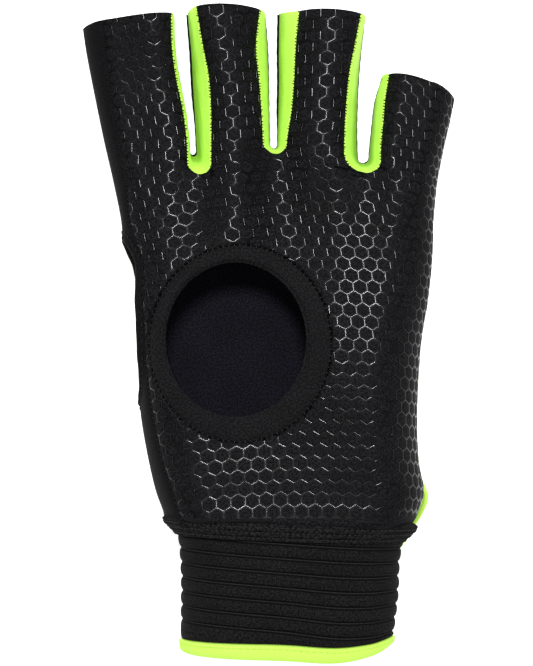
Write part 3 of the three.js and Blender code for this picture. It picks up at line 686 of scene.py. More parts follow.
def stitches(centre: Array, along: Array, out: Array, length: float, radius: float) -> Surface:
    """Short thread stitches: at each place a small bar whose middle stands proud and ends dip.

    Args:
        centre: the stitches' middles in mm, on the cloth.
        along: direction of each bar.
        out: direction out of the cloth.
        length: length of a bar in mm.
        radius: radius of the thread in mm.

    Returns:
        All bars as one surface: each has four sections of four points, closed at the ends.
    """
    along, out = unit(along), unit(out)
    side = unit(np.cross(along, out))
    out = np.cross(side, along)
    shares = np.array([-0.5, -0.32, 0.32, 0.5])
    lifts = np.array([-0.8, 0.6, 0.6, -0.8]) * radius
    sizes = np.array([0.55, 1.0, 1.0, 0.55]) * radius
    turn = np.linspace(0, 2 * np.pi, 5)
    spine = centre[:, None] + along[:, None] * (shares * length)[:, None] + out[:, None] * lifts[:, None]
    ring = side[:, None, None] * np.cos(turn)[:, None] + out[:, None, None] * np.sin(turn)[:, None]
    body = spine[:, :, None] + ring * sizes[:, None, None]
    ends = spine[:, [0, -1], None].repeat(5, axis=2)
    points = np.concatenate([ends[:, :1], body, ends[:, 1:]], axis=1)
    count, sections, sides = points.shape[:3]
    quads = grid_quads(sections, sides, flip=True)
    starts = np.arange(count)[:, None, None] * sections * sides
    quads = (quads[None] + starts).reshape(-1, 4)
    places = stacked(shares[[0, 0, 1, 2, 3, 3]][:, None] * length, turn * radius)
    pattern = np.broadcast_to(places, (count, sections, sides, 2))
    return Surface(points.reshape(-1, 3), quads, pattern.reshape(-1, 2))


def normals_of(points: Array, upward: bool = True) -> Array:
    """Outward directions of a grid whose columns run along x and whose rows run along y.

    Where rows and columns run almost the same way, at the ends of the gaps, they are drawn
    towards the vertical.
    """
    across, along = np.gradient(points, axis=1), np.gradient(points, axis=0)
    normal = np.cross(unit(across), unit(along))
    sound = smoothstep(np.linalg.norm(normal, axis=-1, keepdims=True), 0.2, 0.6)
    normal = unit(lerp(np.array([0.0, 0.0, 1.0]), unit(normal), sound))
    return normal if upward else -normal


@dataclass
class Graph:
    """Adds nodes to a node tree and joins them, so that a finish reads as a list of steps."""

    tree: bpy.types.NodeTree

    def add(self, kind: str, inputs: dict | None = None, **settings: object) -> bpy.types.Node:
        """Adds a node.

        Args:
            kind: the node's type.
            inputs: for each socket, by name or number, a value or a socket to join to it.
            **settings: the node's own settings.

        Returns:
            The node.
        """
        node = self.tree.nodes.new(kind)
        for key, value in settings.items():
            setattr(node, key, value)
        for key, value in (inputs or {}).items():
            if isinstance(value, bpy.types.NodeSocket):
                self.tree.links.new(value, node.inputs[key])
            else:
                node.inputs[key].default_value = value
        return node

    def math(self, operation: str, a: object, b: object = 0.0, c: object = 0.0) -> bpy.types.NodeSocket:
        """A sum, product or other step on numbers."""
        return self.add("ShaderNodeMath", {0: a, 1: b, 2: c}, operation=operation).outputs[0]

    def times(self, a: object, b: object) -> bpy.types.NodeSocket:
        """The product of two numbers."""
        return self.math("MULTIPLY", a, b)

    def parts(self, vector: object) -> bpy.types.NodeOutputs:
        """The x, y and z of a vector."""
        return self.add("ShaderNodeSeparateXYZ", {0: vector}).outputs

    def group(self, tree: bpy.types.NodeTree, place: object,
              **inputs: float) -> bpy.types.NodeOutputs:
        """The outputs of an effect's node group, read at a place with a finish's own values."""
        return self.add("ShaderNodeGroup", {"Vector": place, **inputs}, node_tree=tree).outputs

    def noise(self, place: object, scale: object, detail: float) -> bpy.types.NodeSocket:
        """The value of a noise."""
        return self.add("ShaderNodeTexNoise",
                        {"Vector": place, "Scale": scale, "Detail": detail}).outputs[0]

    def vector(self, operation: str, a: object, b: object = (0, 0, 0), **more: object) -> bpy.types.Node:
        """A step on vectors."""
        inputs = {0: a, 1: b, **{int(k[1:]): v for k, v in more.items()}}
        return self.add("ShaderNodeVectorMath", inputs, operation=operation)

    def mix(self, share: object, a: object, b: object) -> bpy.types.NodeSocket:
        """A colour between two colours."""
        node = self.add("ShaderNodeMix", data_type="RGBA")
        for name, value in (("Factor_Float", share), ("A_Color", a), ("B_Color", b)):
            socket = next(s for s in node.inputs if s.identifier == name)
            if isinstance(value, bpy.types.NodeSocket):
                self.tree.links.new(value, socket)
            else:
                socket.default_value = value
        return next(s for s in node.outputs if s.identifier == "Result_Color")

    def ramp(self, value: object, low: float, high: float, to_low: float = 0.0,
             to_high: float = 1.0) -> bpy.types.NodeSocket:
        """Maps a range of numbers to another one, smoothly and held at its ends."""
        inputs = {"Value": value, "From Min": low, "From Max": high, "To Min": to_low,
                  "To Max": to_high}
        node = self.add("ShaderNodeMapRange", inputs, interpolation_type="SMOOTHSTEP")
        return node.outputs[0]

    def pattern(self) -> bpy.types.NodeSocket:
        """The piece's pattern places, in mm."""
        place = self.add("ShaderNodeUVMap", uv_map="Pattern")
        return self.vector("SCALE", place.outputs[0], i3=1 / PATTERN_SCALE).outputs[0]


def effect(name: str, inputs: dict[str, float], outputs: list[str]) -> tuple[Graph, dict, dict]:
    """Starts a node group with a Vector input, named number inputs and number outputs.

    Args:
        name: the group's name.
        inputs: the number inputs and their usual values.
        outputs: the outputs' names.

    Returns:
        The graph, its inputs' sockets by name, and its outputs' sockets by name.
    """
    tree = bpy.data.node_groups.new(name, "ShaderNodeTree")
    tree.interface.new_socket("Vector", in_out="INPUT", socket_type="NodeSocketVector")
    for key, value in inputs.items():
        socket = tree.interface.new_socket(key, in_out="INPUT", socket_type="NodeSocketFloat")
        socket.default_value = value
    for key in outputs:
        tree.interface.new_socket(key, in_out="OUTPUT", socket_type="NodeSocketFloat")
    graph = Graph(tree)
    start = graph.add("NodeGroupInput")
    end = graph.add("NodeGroupOutput")
    given = {s.name: s for s in start.outputs if s.name}
    wanted = {s.name: s for s in end.inputs if s.name}
    return graph, given, wanted


class Effects:
    """The node groups that the finishes share, each built once."""

    def __init__(self) -> None:
        """Builds all groups."""
        self.fibres = self.build_fibres()
        self.knit = self.build_knit()
        self.twill = self.build_twill()
        self.cells = self.build_cells()
        self.lint = self.build_lint()

    @staticmethod
    def build_fibres() -> bpy.types.NodeTree:
        """Fine fibres, a noise of the given size in mm, and soft clouds about 11 mm wide."""
        graph, given, wanted = effect("Fibres", {"Size": 0.5}, ["Fine", "Cloud"])
        fine = graph.noise(given["Vector"], graph.math("DIVIDE", 1.0, given["Size"]), 3.0)
        cloud = graph.noise(given["Vector"], 0.09, 2.0)
        graph.tree.links.new(fine, wanted["Fine"])
        graph.tree.links.new(graph.ramp(cloud, 0.3, 0.7), wanted["Cloud"])
        return graph.tree

    @staticmethod
    def build_knit() -> bpy.types.NodeTree:
        """Knitted loops: columns of V-shaped stitches.

        Across a column the height is |sin|, and along it a sine whose phase slides with the
        distance from the column's middle, which makes each loop a V.
        """
        graph, given, wanted = effect("Knit", {"Column": 0.9, "Course": 0.7}, ["Height"])
        part = graph.parts(given["Vector"])
        across = graph.math("DIVIDE", part[0], given["Column"])
        along = graph.math("DIVIDE", part[1], given["Course"])
        column = graph.math("ABSOLUTE", graph.math("SINE", graph.times(across, np.pi)))
        offset = graph.math("ABSOLUTE", graph.math("SUBTRACT", graph.math("FRACT", across), 0.5))
        phase = graph.times(graph.math("ADD", along, offset), 2 * np.pi)
        loop = graph.math("MULTIPLY_ADD", graph.math("SINE", phase), 0.35, 0.65)
        graph.tree.links.new(graph.times(column, loop), wanted["Height"])
        return graph.tree

    @staticmethod
    def build_twill() -> bpy.types.NodeTree:
        """Woven threads: a sine across each thread direction, and which of the two lies on top."""
        graph, given, wanted = effect("Weave", {"Thread": 0.5}, ["Height"])
        part = graph.parts(given["Vector"])
        across, along = (graph.math("DIVIDE", part[k], given["Thread"]) for k in (0, 1))
        warp, weft = (graph.math("ABSOLUTE", graph.math("SINE", graph.times(share, np.pi)))
                      for share in (across, along))
        steps = graph.math("ADD", graph.math("FLOOR", across), graph.math("FLOOR", along))
        on_top = graph.math("PINGPONG", steps, 1.0)
        height = graph.math("ADD", graph.times(warp, on_top),
                            graph.times(weft, graph.math("SUBTRACT", 1.0, on_top)))
        graph.tree.links.new(height, wanted["Height"])
        return graph.tree

    @staticmethod
    def build_cells() -> bpy.types.NodeTree:
        """Hexagon cells, from the distance to the nearest of two staggered rows of centres.

        The place is wrapped into one period of each of the two rectangular lattices that make
        up the hexagon lattice. The nearer centre wins, and the distance to its cell's edge is
        half the width less the larger of |x| and |x|/2 + 0.866|y|.
        """
        inputs = {"Width": HEXAGON_WIDTH, "Line": 0.5}
        graph, given, wanted = effect("Hexagon cells", inputs, ["Line mask", "Pillow", "Tint"])
        tall = graph.times(given["Width"], np.sqrt(3.0))
        period = graph.add("ShaderNodeCombineXYZ", {0: given["Width"], 1: tall, 2: 1.0}).outputs[0]
        half = graph.vector("SCALE", period, i3=0.5).outputs[0]
        less = graph.vector("SCALE", period, i3=-0.5).outputs[0]
        one = graph.vector("WRAP", given["Vector"], half, i2=less).outputs[0]
        moved = graph.vector("SUBTRACT", given["Vector"], half).outputs[0]
        two = graph.vector("WRAP", moved, half, i2=less).outputs[0]
        flat = (1.0, 1.0, 0.0)
        one = graph.vector("MULTIPLY", one, flat).outputs[0]
        two = graph.vector("MULTIPLY", two, flat).outputs[0]
        length_one = graph.vector("LENGTH", one).outputs["Value"]
        length_two = graph.vector("LENGTH", two).outputs["Value"]
        nearer = graph.math("LESS_THAN", length_one, length_two)
        farther = graph.math("SUBTRACT", 1.0, nearer)
        place = graph.vector("ADD", graph.vector("SCALE", one, i3=nearer).outputs[0],
                             graph.vector("SCALE", two, i3=farther).outputs[0]).outputs[0]
        part = graph.add("ShaderNodeSeparateXYZ", {0: graph.vector("ABSOLUTE", place).outputs[0]})
        slanted = graph.math("ADD", graph.times(part.outputs[0], 0.5),
                             graph.times(part.outputs[1], np.sqrt(3.0) / 2))
        reach = graph.math("MAXIMUM", part.outputs[0], slanted)
        inside = graph.math("SUBTRACT", graph.times(given["Width"], 0.5), reach)
        line = graph.add("ShaderNodeMapRange", {
            "Value": inside, "From Min": graph.times(given["Line"], 0.35),
            "From Max": graph.times(given["Line"], 0.75), "To Min": 1.0, "To Max": 0.0,
        }, interpolation_type="SMOOTHSTEP").outputs[0]
        pillow = graph.ramp(inside, 0.1, 1.4)
        centre = graph.vector("SUBTRACT", given["Vector"], place).outputs[0]
        snapped = graph.vector("SNAP", graph.vector("MULTIPLY", centre, flat).outputs[0],
                               (0.25, 0.25, 1.0)).outputs[0]
        tint = graph.add("ShaderNodeTexWhiteNoise", {"Vector": snapped}).outputs["Value"]
        graph.tree.links.new(line, wanted["Line mask"])
        graph.tree.links.new(pillow, wanted["Pillow"])
        graph.tree.links.new(tint, wanted["Tint"])
        return graph.tree

    @staticmethod
    def build_lint() -> bpy.types.NodeTree:
        """Rare specks of lint: the middles of a few scattered cells."""
        graph, given, wanted = effect("Lint", {"Spacing": 4.0, "Size": 0.2}, ["Speck"])
        per_mm = graph.math("DIVIDE", 1.0, given["Spacing"])
        cells = graph.add("ShaderNodeTexVoronoi", {"Vector": given["Vector"], "Scale": per_mm})
        distance = graph.times(cells.outputs["Distance"], given["Spacing"])
        speck = graph.math("LESS_THAN", distance, given["Size"])
        colour = graph.add("ShaderNodeSeparateColor", {0: cells.outputs["Color"]})
        rare = graph.math("GREATER_THAN", colour.outputs[0], 0.8)
        graph.tree.links.new(graph.times(speck, rare), wanted["Speck"])
        return graph.tree


EFFECTS = Effects()


@dataclass(frozen=True)
class Finish:
    """What every finish has: its base colour, gloss, and a painted glow: emission in the base colour
    that makes a part shine evenly though it is no lamp.
    """

    name: str
    colour: tuple[float, float, float]
    roughness: float = 0.8
    specular: float = 0.3
    painted_glow: float = 0.0

    def start(self) -> tuple[bpy.types.Material, Graph, bpy.types.Node]:
        """A new material with a Principled shader that has the finish's even values.

        Returns:
            The material, its graph, and the shader node.
        """
        material = bpy.data.materials.new(self.name)
        material.use_nodes = True
        graph = Graph(material.node_tree)
        shader = next(n for n in graph.tree.nodes if n.type == "BSDF_PRINCIPLED")
        shader.inputs["Base Color"].default_value = (*self.colour, 1.0)
        shader.inputs["Roughness"].default_value = self.roughness
        shader.inputs["Specular IOR Level"].default_value = self.specular
        # Painted glow: the base colour is emitted as light, whatever the lamps do.
        if self.painted_glow:
            shader.inputs["Emission Color"].default_value = (*self.colour, 1.0)
            shader.inputs["Emission Strength"].default_value = self.painted_glow
        return material, graph, shader

    def tinted(self, amount: float) -> tuple[float, float, float, float]:
        """The base colour, lightened or darkened by a factor."""
        return (*(min(c * amount, 1.0) for c in self.colour), 1.0)

    @staticmethod
    def relief(graph: Graph, shader: bpy.types.Node, height: bpy.types.NodeSocket,
               depth: float) -> None:
        """Joins a height to the shader's normal: depth is in mm for a height from 0 to 1."""
        bump = graph.add("ShaderNodeBump", {"Strength": 1.0, "Distance": depth * METRES,
                                            "Height": height})
        graph.tree.links.new(bump.outputs[0], shader.inputs["Normal"])

    @staticmethod
    def join(graph: Graph, shader: bpy.types.Node, **sockets: bpy.types.NodeSocket) -> None:
        """Joins varying colours and values to the shader's sockets, named with underscores."""
        for key, socket in sockets.items():
            graph.tree.links.new(socket, shader.inputs[key.replace("_", " ")])


@dataclass(frozen=True)
class KnitCloth(Finish):
    """Knitted cloth: columns of loops, fibres, soft darker clouds and rare lint; painted shade makes it
    darker between the loops.

    With a cord pitch, every cord_pitch mm from cord_start a groove darkened with painted shade runs
    across it, with a light cord in its middle that is lighter thread with a painted highlight. Both are
    measured in the pattern's y.
    """

    column: float = 0.9
    course: float = 0.7
    depth: float = 0.1
    contrast: float = 0.35
    grain: float = 0.6
    cloudiness: float = 0.25
    lint: float = 0.0
    lint_size: float = 0.17
    cord_start: float = 0.0
    cord_pitch: float = 0.0

    def build(self) -> bpy.types.Material:
        """Makes the material."""
        material, graph, shader = self.start()
        place = graph.pattern()
        knit = graph.group(EFFECTS.knit, place, Column=self.column, Course=self.course)
        fibres = graph.group(EFFECTS.fibres, place, Size=self.grain)
        low, high = self.tinted(1 - self.contrast), self.tinted(1 + self.contrast)
        fuzz = graph.times(graph.ramp(fibres["Fine"], 0.38, 0.66), 0.8)
        # Painted shade: the colour follows the knit's height, darker between the loops, with the fibres'
        # grain.
        shade = graph.mix(graph.math("MULTIPLY_ADD", knit["Height"], 0.35, fuzz), low, high)
        colour = graph.mix(graph.times(fibres["Cloud"], self.cloudiness), shade, low)
        if self.cord_pitch:
            down = graph.math("SUBTRACT", self.cord_start, graph.parts(place)[1])
            phase = graph.math("DIVIDE", down, self.cord_pitch)
            away = graph.math("PINGPONG", phase, 0.5)
            past = graph.math("GREATER_THAN", phase, -0.5)
            # Painted shade in the groove.
            groove = graph.times(graph.ramp(away, 0.2, 0.07), past)
            # Painted highlight along the cord.
            cord = graph.times(graph.ramp(away, 0.05, 0.02), past)
            shaded_groove = graph.mix(groove, colour, self.tinted(0.25))
            colour = graph.mix(graph.times(cord, fibres["Fine"]), shaded_groove, self.tinted(4.6))
        if self.lint:
            lint = graph.group(EFFECTS.lint, place, Spacing=self.lint, Size=self.lint_size)
            colour = graph.mix(lint["Speck"], colour, (0.16, 0.16, 0.16, 1.0))
        self.join(graph, shader, Base_Color=colour)
        height = graph.math("MULTIPLY_ADD", fibres["Fine"], 0.5, knit["Height"])
        self.relief(graph, shader, height, self.depth)
        return material


@dataclass(frozen=True)
class WovenCloth(Finish):
    """Woven cloth: fine crossing threads, fibres and soft clouds.

    With shade_to, painted shade darkens it to the shaded colour between shade_from and shade_to, in
    mm down the pattern's y, where the strip lies deep in the gap between two fingers.
    """

    thread: float = 0.45
    depth: float = 0.06
    contrast: float = 0.12
    cloudiness: float = 0.4
    shade_from: float = 0.0
    shade_to: float = 0.0
    shade_share: float = 0.85
    shaded: tuple[float, float, float] = (0.13, 0.3, 0.015)

    def build(self) -> bpy.types.Material:
        """Makes the material."""
        material, graph, shader = self.start()
        place = graph.pattern()
        weave = graph.group(EFFECTS.twill, place, Thread=self.thread)
        fibres = graph.group(EFFECTS.fibres, place, Size=self.thread)
        low, high = self.tinted(1 - self.contrast), self.tinted(1 + self.contrast)
        # Painted light and shade: lighter on the threads' crowns, darker between them, mixed with the
        # fibres' grain.
        light = graph.math("MULTIPLY_ADD", weave["Height"], 0.5, graph.times(fibres["Fine"], 0.5))
        shade = graph.mix(light, low, high)
        colour = graph.mix(graph.times(fibres["Cloud"], self.cloudiness), shade, low)
        # Painted shade: deeper down the strip, the colour and its glow turn to the shaded colour.
        if self.shade_to:
            deep = graph.ramp(graph.parts(place)[1], self.shade_from, self.shade_to)
            colour = graph.mix(graph.times(deep, self.shade_share), colour, (*self.shaded, 1.0))
            self.join(graph, shader, Emission_Color=colour)
        self.join(graph, shader, Base_Color=colour)
        height = graph.math("MULTIPLY_ADD", fibres["Fine"], 0.4, weave["Height"])
        self.relief(graph, shader, height, self.depth)
        return material


@dataclass(frozen=True)
class GripCloth(Finish):
    """The palm's cloth: soft hexagon cells of fine cloth between darker printed lines.

    The cells end at print_end, a y in the part's frame, below which the cloth is plain.
    """

    width: float = HEXAGON_WIDTH
    line: float = 0.8
    line_shade: float = 0.3
    line_gloss: float = 0.35
    grain: float = 0.68
    thread: float = 0.5
    depth: float = 0.07
    print_end: float = -57.6
    print_fade: float = 0.6

    def build(self) -> bpy.types.Material:
        """Makes the material."""
        material, graph, shader = self.start()
        place = graph.pattern()
        cells = graph.group(EFFECTS.cells, place, Width=self.width, Line=self.line)
        fibres = graph.group(EFFECTS.fibres, place, Size=self.grain)
        weave = graph.group(EFFECTS.twill, place, Thread=self.thread)
        y = graph.parts(graph.add("ShaderNodeTexCoord").outputs["Object"])[1]
        printed = graph.ramp(y, (self.print_end - self.print_fade) * METRES,
                             self.print_end * METRES)
        line = graph.times(cells["Line mask"], printed)
        # The fine tone is the fibres' grain with some painted shade of the weave: lighter on the
        # threads' crowns.
        fine = graph.math("MULTIPLY_ADD", weave["Height"], 0.3,
                          graph.ramp(fibres["Fine"], 0.45, 0.57))
        shade = graph.mix(fine, self.tinted(0.05), self.tinted(2.5))
        varied = graph.mix(graph.times(cells["Tint"], 0.35), shade, self.tinted(0.7))
        lined = graph.mix(line, varied, self.tinted(self.line_shade))
        smooth = graph.math("MULTIPLY_ADD", line, -self.line_gloss, self.roughness)
        self.join(graph, shader, Base_Color=lined, Roughness=smooth)
        pillow = graph.times(cells["Pillow"], printed)
        height = graph.math("MULTIPLY_ADD", fibres["Fine"], 0.22, pillow)
        self.relief(graph, shader, height, self.depth)
        return material


@dataclass(frozen=True)
class GripPrint(Finish):
    """The raised printed lines of the grip: dark and silvery, worn in places, and darker at the sides.

    Towards the sides, between two distances in mm from the glove's middle, painted shade darkens them,
    so that the lines on the rolled sides hardly reflect the lit table.
    """

    wear_size: float = 7.0
    wear_rough: float = 0.06
    shaded_side_from: float = 38.0
    shaded_side_to: float = 47.0

    def build(self) -> bpy.types.Material:
        """Makes the material."""
        material, graph, shader = self.start()
        fibres = graph.group(EFFECTS.fibres, graph.pattern(), Size=self.wear_size)
        x = graph.parts(graph.add("ShaderNodeTexCoord").outputs["Object"])[0]
        side = graph.ramp(graph.math("ABSOLUTE", x), self.shaded_side_from * METRES,
                          self.shaded_side_to * METRES)
        worn = graph.ramp(fibres["Fine"], 0.4, 0.7)
        # The darker colour is random wear joined with painted shade towards the sides.
        wear_and_side_shade = graph.math("MAXIMUM", worn, side)
        rough = graph.math("MULTIPLY_ADD", worn, self.wear_rough, self.roughness)
        self.join(graph, shader, Roughness=rough,
                  Base_Color=graph.mix(wear_and_side_shade, self.tinted(1.2), self.tinted(0.5)))
        shader.inputs["Metallic"].default_value = 1.0
        return material


@dataclass(frozen=True)
class FoamSkin(Finish):
    """Moulded foam with a fine leathery grain of cells."""

    grain: float = 0.8
    depth: float = 0.12

    def build(self) -> bpy.types.Material:
        """Makes the material."""
        material, graph, shader = self.start()
        position = graph.add("ShaderNodeTexCoord").outputs["Object"]
        place = graph.vector("SCALE", position, i3=1 / METRES).outputs[0]
        fibres = graph.group(EFFECTS.fibres, place, Size=self.grain)
        cells = graph.add("ShaderNodeTexVoronoi", {"Vector": place, "Scale": 1 / self.grain})
        shade = graph.mix(fibres["Cloud"], self.tinted(0.75), self.tinted(1.25))
        self.join(graph, shader, Base_Color=shade)
        height = graph.math("MULTIPLY_ADD", fibres["Fine"], 0.3, cells.outputs["Distance"])
        self.relief(graph, shader, height, self.depth)
        return material


@dataclass(frozen=True)
class Thread(Finish):
    """Twisted sewing thread: slanted plies along the stitch."""

    twist: float = 0.35
    depth: float = 0.05

    def build(self) -> bpy.types.Material:
        """Makes the material."""
        material, graph, shader = self.start()
        part = graph.parts(graph.pattern())
        slant = graph.math("ADD", part[0], part[1])
        ply = graph.math("SINE", graph.times(slant, 2 * np.pi / self.twist))
        height = graph.math("MULTIPLY_ADD", ply, 0.5, 0.5)
        # Painted shade: the plies are lighter on their tops and darker between them.
        self.join(graph, shader, Base_Color=graph.mix(height, self.tinted(0.6), self.tinted(1.3)))
        self.relief(graph, shader, height, self.depth)
        return material


LIME = (0.40, 0.67, 0.085)


class Finishes:
    """Every finish of the glove as a material."""

    def __init__(self) -> None:
        """Makes the materials."""
        self.grip = GripCloth("Hexagon grip cloth", (0.0046, 0.0046, 0.0053), roughness=0.75,
                              specular=0.06).build()
        self.grip_print = GripPrint("Grip print", (0.034, 0.034, 0.0355), roughness=0.15,
                                    specular=0.5).build()
        self.stretch = KnitCloth("Stretch cloth", (0.0048, 0.0048, 0.0055), specular=0.06,
                                 column=0.7, course=0.6, depth=0.05, contrast=0.6).build()
        self.lining = KnitCloth("Navy lining", (0.007, 0.0066, 0.0105), specular=0.05,
                                column=0.75, course=0.65, depth=0.1, contrast=0.75).build()
        # The lime cloths carry a painted glow that keeps them evenly bright.
        self.lime = WovenCloth("Lime stretch cloth", LIME, roughness=0.7, specular=0.1,
                               painted_glow=0.56).build()
        # The lime in the gaps also darkens with painted shade deep between the fingers.
        self.gap_lime = WovenCloth("Lime cloth in the gaps", LIME, roughness=0.7, specular=0.1,
                                   painted_glow=0.56, shade_from=5.0, shade_to=14.0).build()
        self.band = KnitCloth("Brushed band", (0.0084, 0.0084, 0.0092), specular=0.05,
                              column=0.55, course=0.5, depth=0.05, contrast=0.7).build()
        # The rib knit carries painted shade in its grooves and a painted highlight on its cords.
        self.cuff = KnitCloth("Rib knit", (0.0084, 0.0084, 0.0084), specular=0.06,
                              column=0.62, course=0.9, depth=0.12, contrast=0.8, lint=6.0,
                              cord_start=RIB_START, cord_pitch=RIB_PITCH).build()
        self.gathered = KnitCloth("Gathered band", (0.0102, 0.0102, 0.0106), specular=0.06,
                                  column=0.8, course=0.8, depth=0.15, contrast=0.9,
                                  grain=0.9).build()
        self.foam = FoamSkin("Foam skin", (0.012, 0.012, 0.013), roughness=0.65,
                             specular=0.2).build()
        self.black_thread = Thread("Black thread", (0.008, 0.008, 0.009), roughness=0.55,
                                   specular=0.15).build()
        self.grey_thread = Thread("Grey thread", (0.032, 0.032, 0.034), roughness=0.6,
                                  specular=0.1).build()
        # The lime thread carries a painted glow as well.
        self.lime_thread = Thread("Lime thread", (0.36, 0.64, 0.06), roughness=0.6, painted_glow=0.5).build()


FINISHES = Finishes()


HAND_PULL = Pull(0, 0, shift=(-31.8, -30.2), by_x=(0.6, -3.3), by_y=(6.1, 3.8),
                 by_xx=(2.3, 4.7), by_xy=(-0.7, -0.9), by_yy=(2.5, 0.8))
FINGER_PULLS = (
    Pull(-40, 75, shift=(-19.3, -19.4), by_x=(2.5, -5.0), by_y=(9.5, 2.0)),
    Pull(-9, 78, shift=(-19.6, -22.5), by_x=(0.4, -6.6), by_y=(4.5, 3.1)),
    Pull(18, 78, shift=(-23.2, -25.0), by_x=(-1.6, -0.6), by_y=(-0.9, 3.8)),
    Pull(47, 65, shift=(-20.9, -23.3), by_x=(7.7, 11.4), by_y=(1.1, 5.3)),
)


@dataclass(frozen=True)
class GripPattern:
    """The lattice of hexagons on the palm's cloth, in flat mm with a hexagon at the origin."""

    width: float = HEXAGON_WIDTH
    own_share: float = 0.3

    def flat(self, place: Array, along: Array, finger: int) -> Array:
        """The flat place of a point of the palm's cloth.

        Args:
            place: the point in the cloth's unrolled plan, in mm.
            along: 0 on the hand and up to 1 at the fingertip; it blends in the finger's pull.
            finger: which finger's columns the point belongs to.

        Returns:
            Flat coordinates.
        """
        own = smoothstep(along, 0.0, self.own_share)[..., None]
        return place + lerp(HAND_PULL.at(place), FINGER_PULLS[finger].at(place), own)

    def edges(self, reach: float) -> tuple[Array, Array]:
        """Starts and ends of all hexagons' sides: three sides of each hexagon, so none twice."""
        radius = self.width / np.sqrt(3)
        count = int(reach / self.width) + 1
        i, j = np.meshgrid(np.arange(-count, count + 1), np.arange(-count - 4, count + 5))
        x = self.width * (i + 0.5 * (j % 2))
        y = self.width * np.sqrt(3) / 2 * j
        centres = stacked(x, y).reshape(-1, 1, 2)
        turn = np.radians([0.0, 60.0, 120.0, 180.0])
        corners = centres + radius * stacked(np.sin(turn), np.cos(turn))
        return corners[:, :-1].reshape(-1, 2), corners[:, 1:].reshape(-1, 2)


@dataclass
class Panel:
    """One finger's columns of a shell, on the hand and the finger, as a structured sheet.

    Args:
        points: rows x columns x 3 in mm.
        pattern: rows x columns x 2, flat places in mm.
        edge: rows x columns, distance in mm to the nearest sewn edge.
    """

    points: Array
    pattern: Array
    edge: Array

    def drawn_in(self, depth: float, width: float, upward: bool) -> "Panel":
        """The sheet with its sewn edges drawn in: depth times e to the -distance/width."""
        normal = normals_of(self.points, upward)
        amount = depth * np.exp(-self.edge / width)
        return Panel(self.points - normal * amount[..., None], self.pattern, self.edge)

    def find(self, places: Array) -> tuple[Array, Array]:
        """Finds where flat places lie on the sheet, by Newton steps on its bilinear cells.

        Args:
            places: flat places in mm, count x 2.

        Returns:
            Row and column numbers with fractions, count x 2, and which places are on it.
        """
        rows, columns = self.pattern.shape[:2]
        step = 3
        coarse = self.pattern[::step, ::step].reshape(-1, 2)
        wide = (columns + step - 1) // step
        low, high = self.pattern.reshape(-1, 2).min(0) - 1, self.pattern.reshape(-1, 2).max(0) + 1
        near = ((places > low) & (places < high)).all(-1)
        spot = np.zeros((len(places), 2))
        inside = np.zeros(len(places), bool)
        chosen = np.flatnonzero(near)
        for part in np.array_split(chosen, max(1, len(chosen) // 2000)):
            away = ((places[part, None] - coarse[None]) ** 2).sum(-1)
            best = away.argmin(1)
            spot[part] = np.stack([best // wide, best % wide], -1) * step
        limit = np.array([rows - 1, columns - 1])
        for _ in range(9):
            value, by_row, by_column = self.sample(self.pattern, spot[chosen], slopes=True)
            miss = places[chosen] - value
            size = by_row[:, 0] * by_column[:, 1] - by_row[:, 1] * by_column[:, 0]
            size = np.where(np.abs(size) < 1e-9, 1e-9, size)
            rise = (miss[:, 0] * by_column[:, 1] - miss[:, 1] * by_column[:, 0]) / size
            run = (by_row[:, 0] * miss[:, 1] - by_row[:, 1] * miss[:, 0]) / size
            move = np.clip(np.stack([rise, run], -1), -4, 4)
            spot[chosen] = np.clip(spot[chosen] + move, 0, limit)
        value = self.sample(self.pattern, spot[chosen])
        inside[chosen] = np.linalg.norm(places[chosen] - value, axis=-1) < 0.03
        return spot, inside

    @staticmethod
    def sample(grid: Array, spot: Array, slopes: bool = False) -> Array | tuple[Array, ...]:
        """Reads a grid at fractional rows and columns, between the four corners of the cell.

        Args:
            grid: rows x columns x values.
            spot: count x 2, rows and columns with fractions.
            slopes: also gives the change for one row and for one column.

        Returns:
            The values, or the values and the two slopes.
        """
        i = np.clip(spot[:, 0].astype(int), 0, grid.shape[0] - 2)
        j = np.clip(spot[:, 1].astype(int), 0, grid.shape[1] - 2)
        u = (spot[:, 0] - i)[:, None]
        v = (spot[:, 1] - j)[:, None]
        a, b, c, d = grid[i, j], grid[i, j + 1], grid[i + 1, j], grid[i + 1, j + 1]
        value = lerp(lerp(a, b, v), lerp(c, d, v), u)
        if not slopes:
            return value
        return value, lerp(c - a, d - b, v), lerp(b - a, d - c, u)


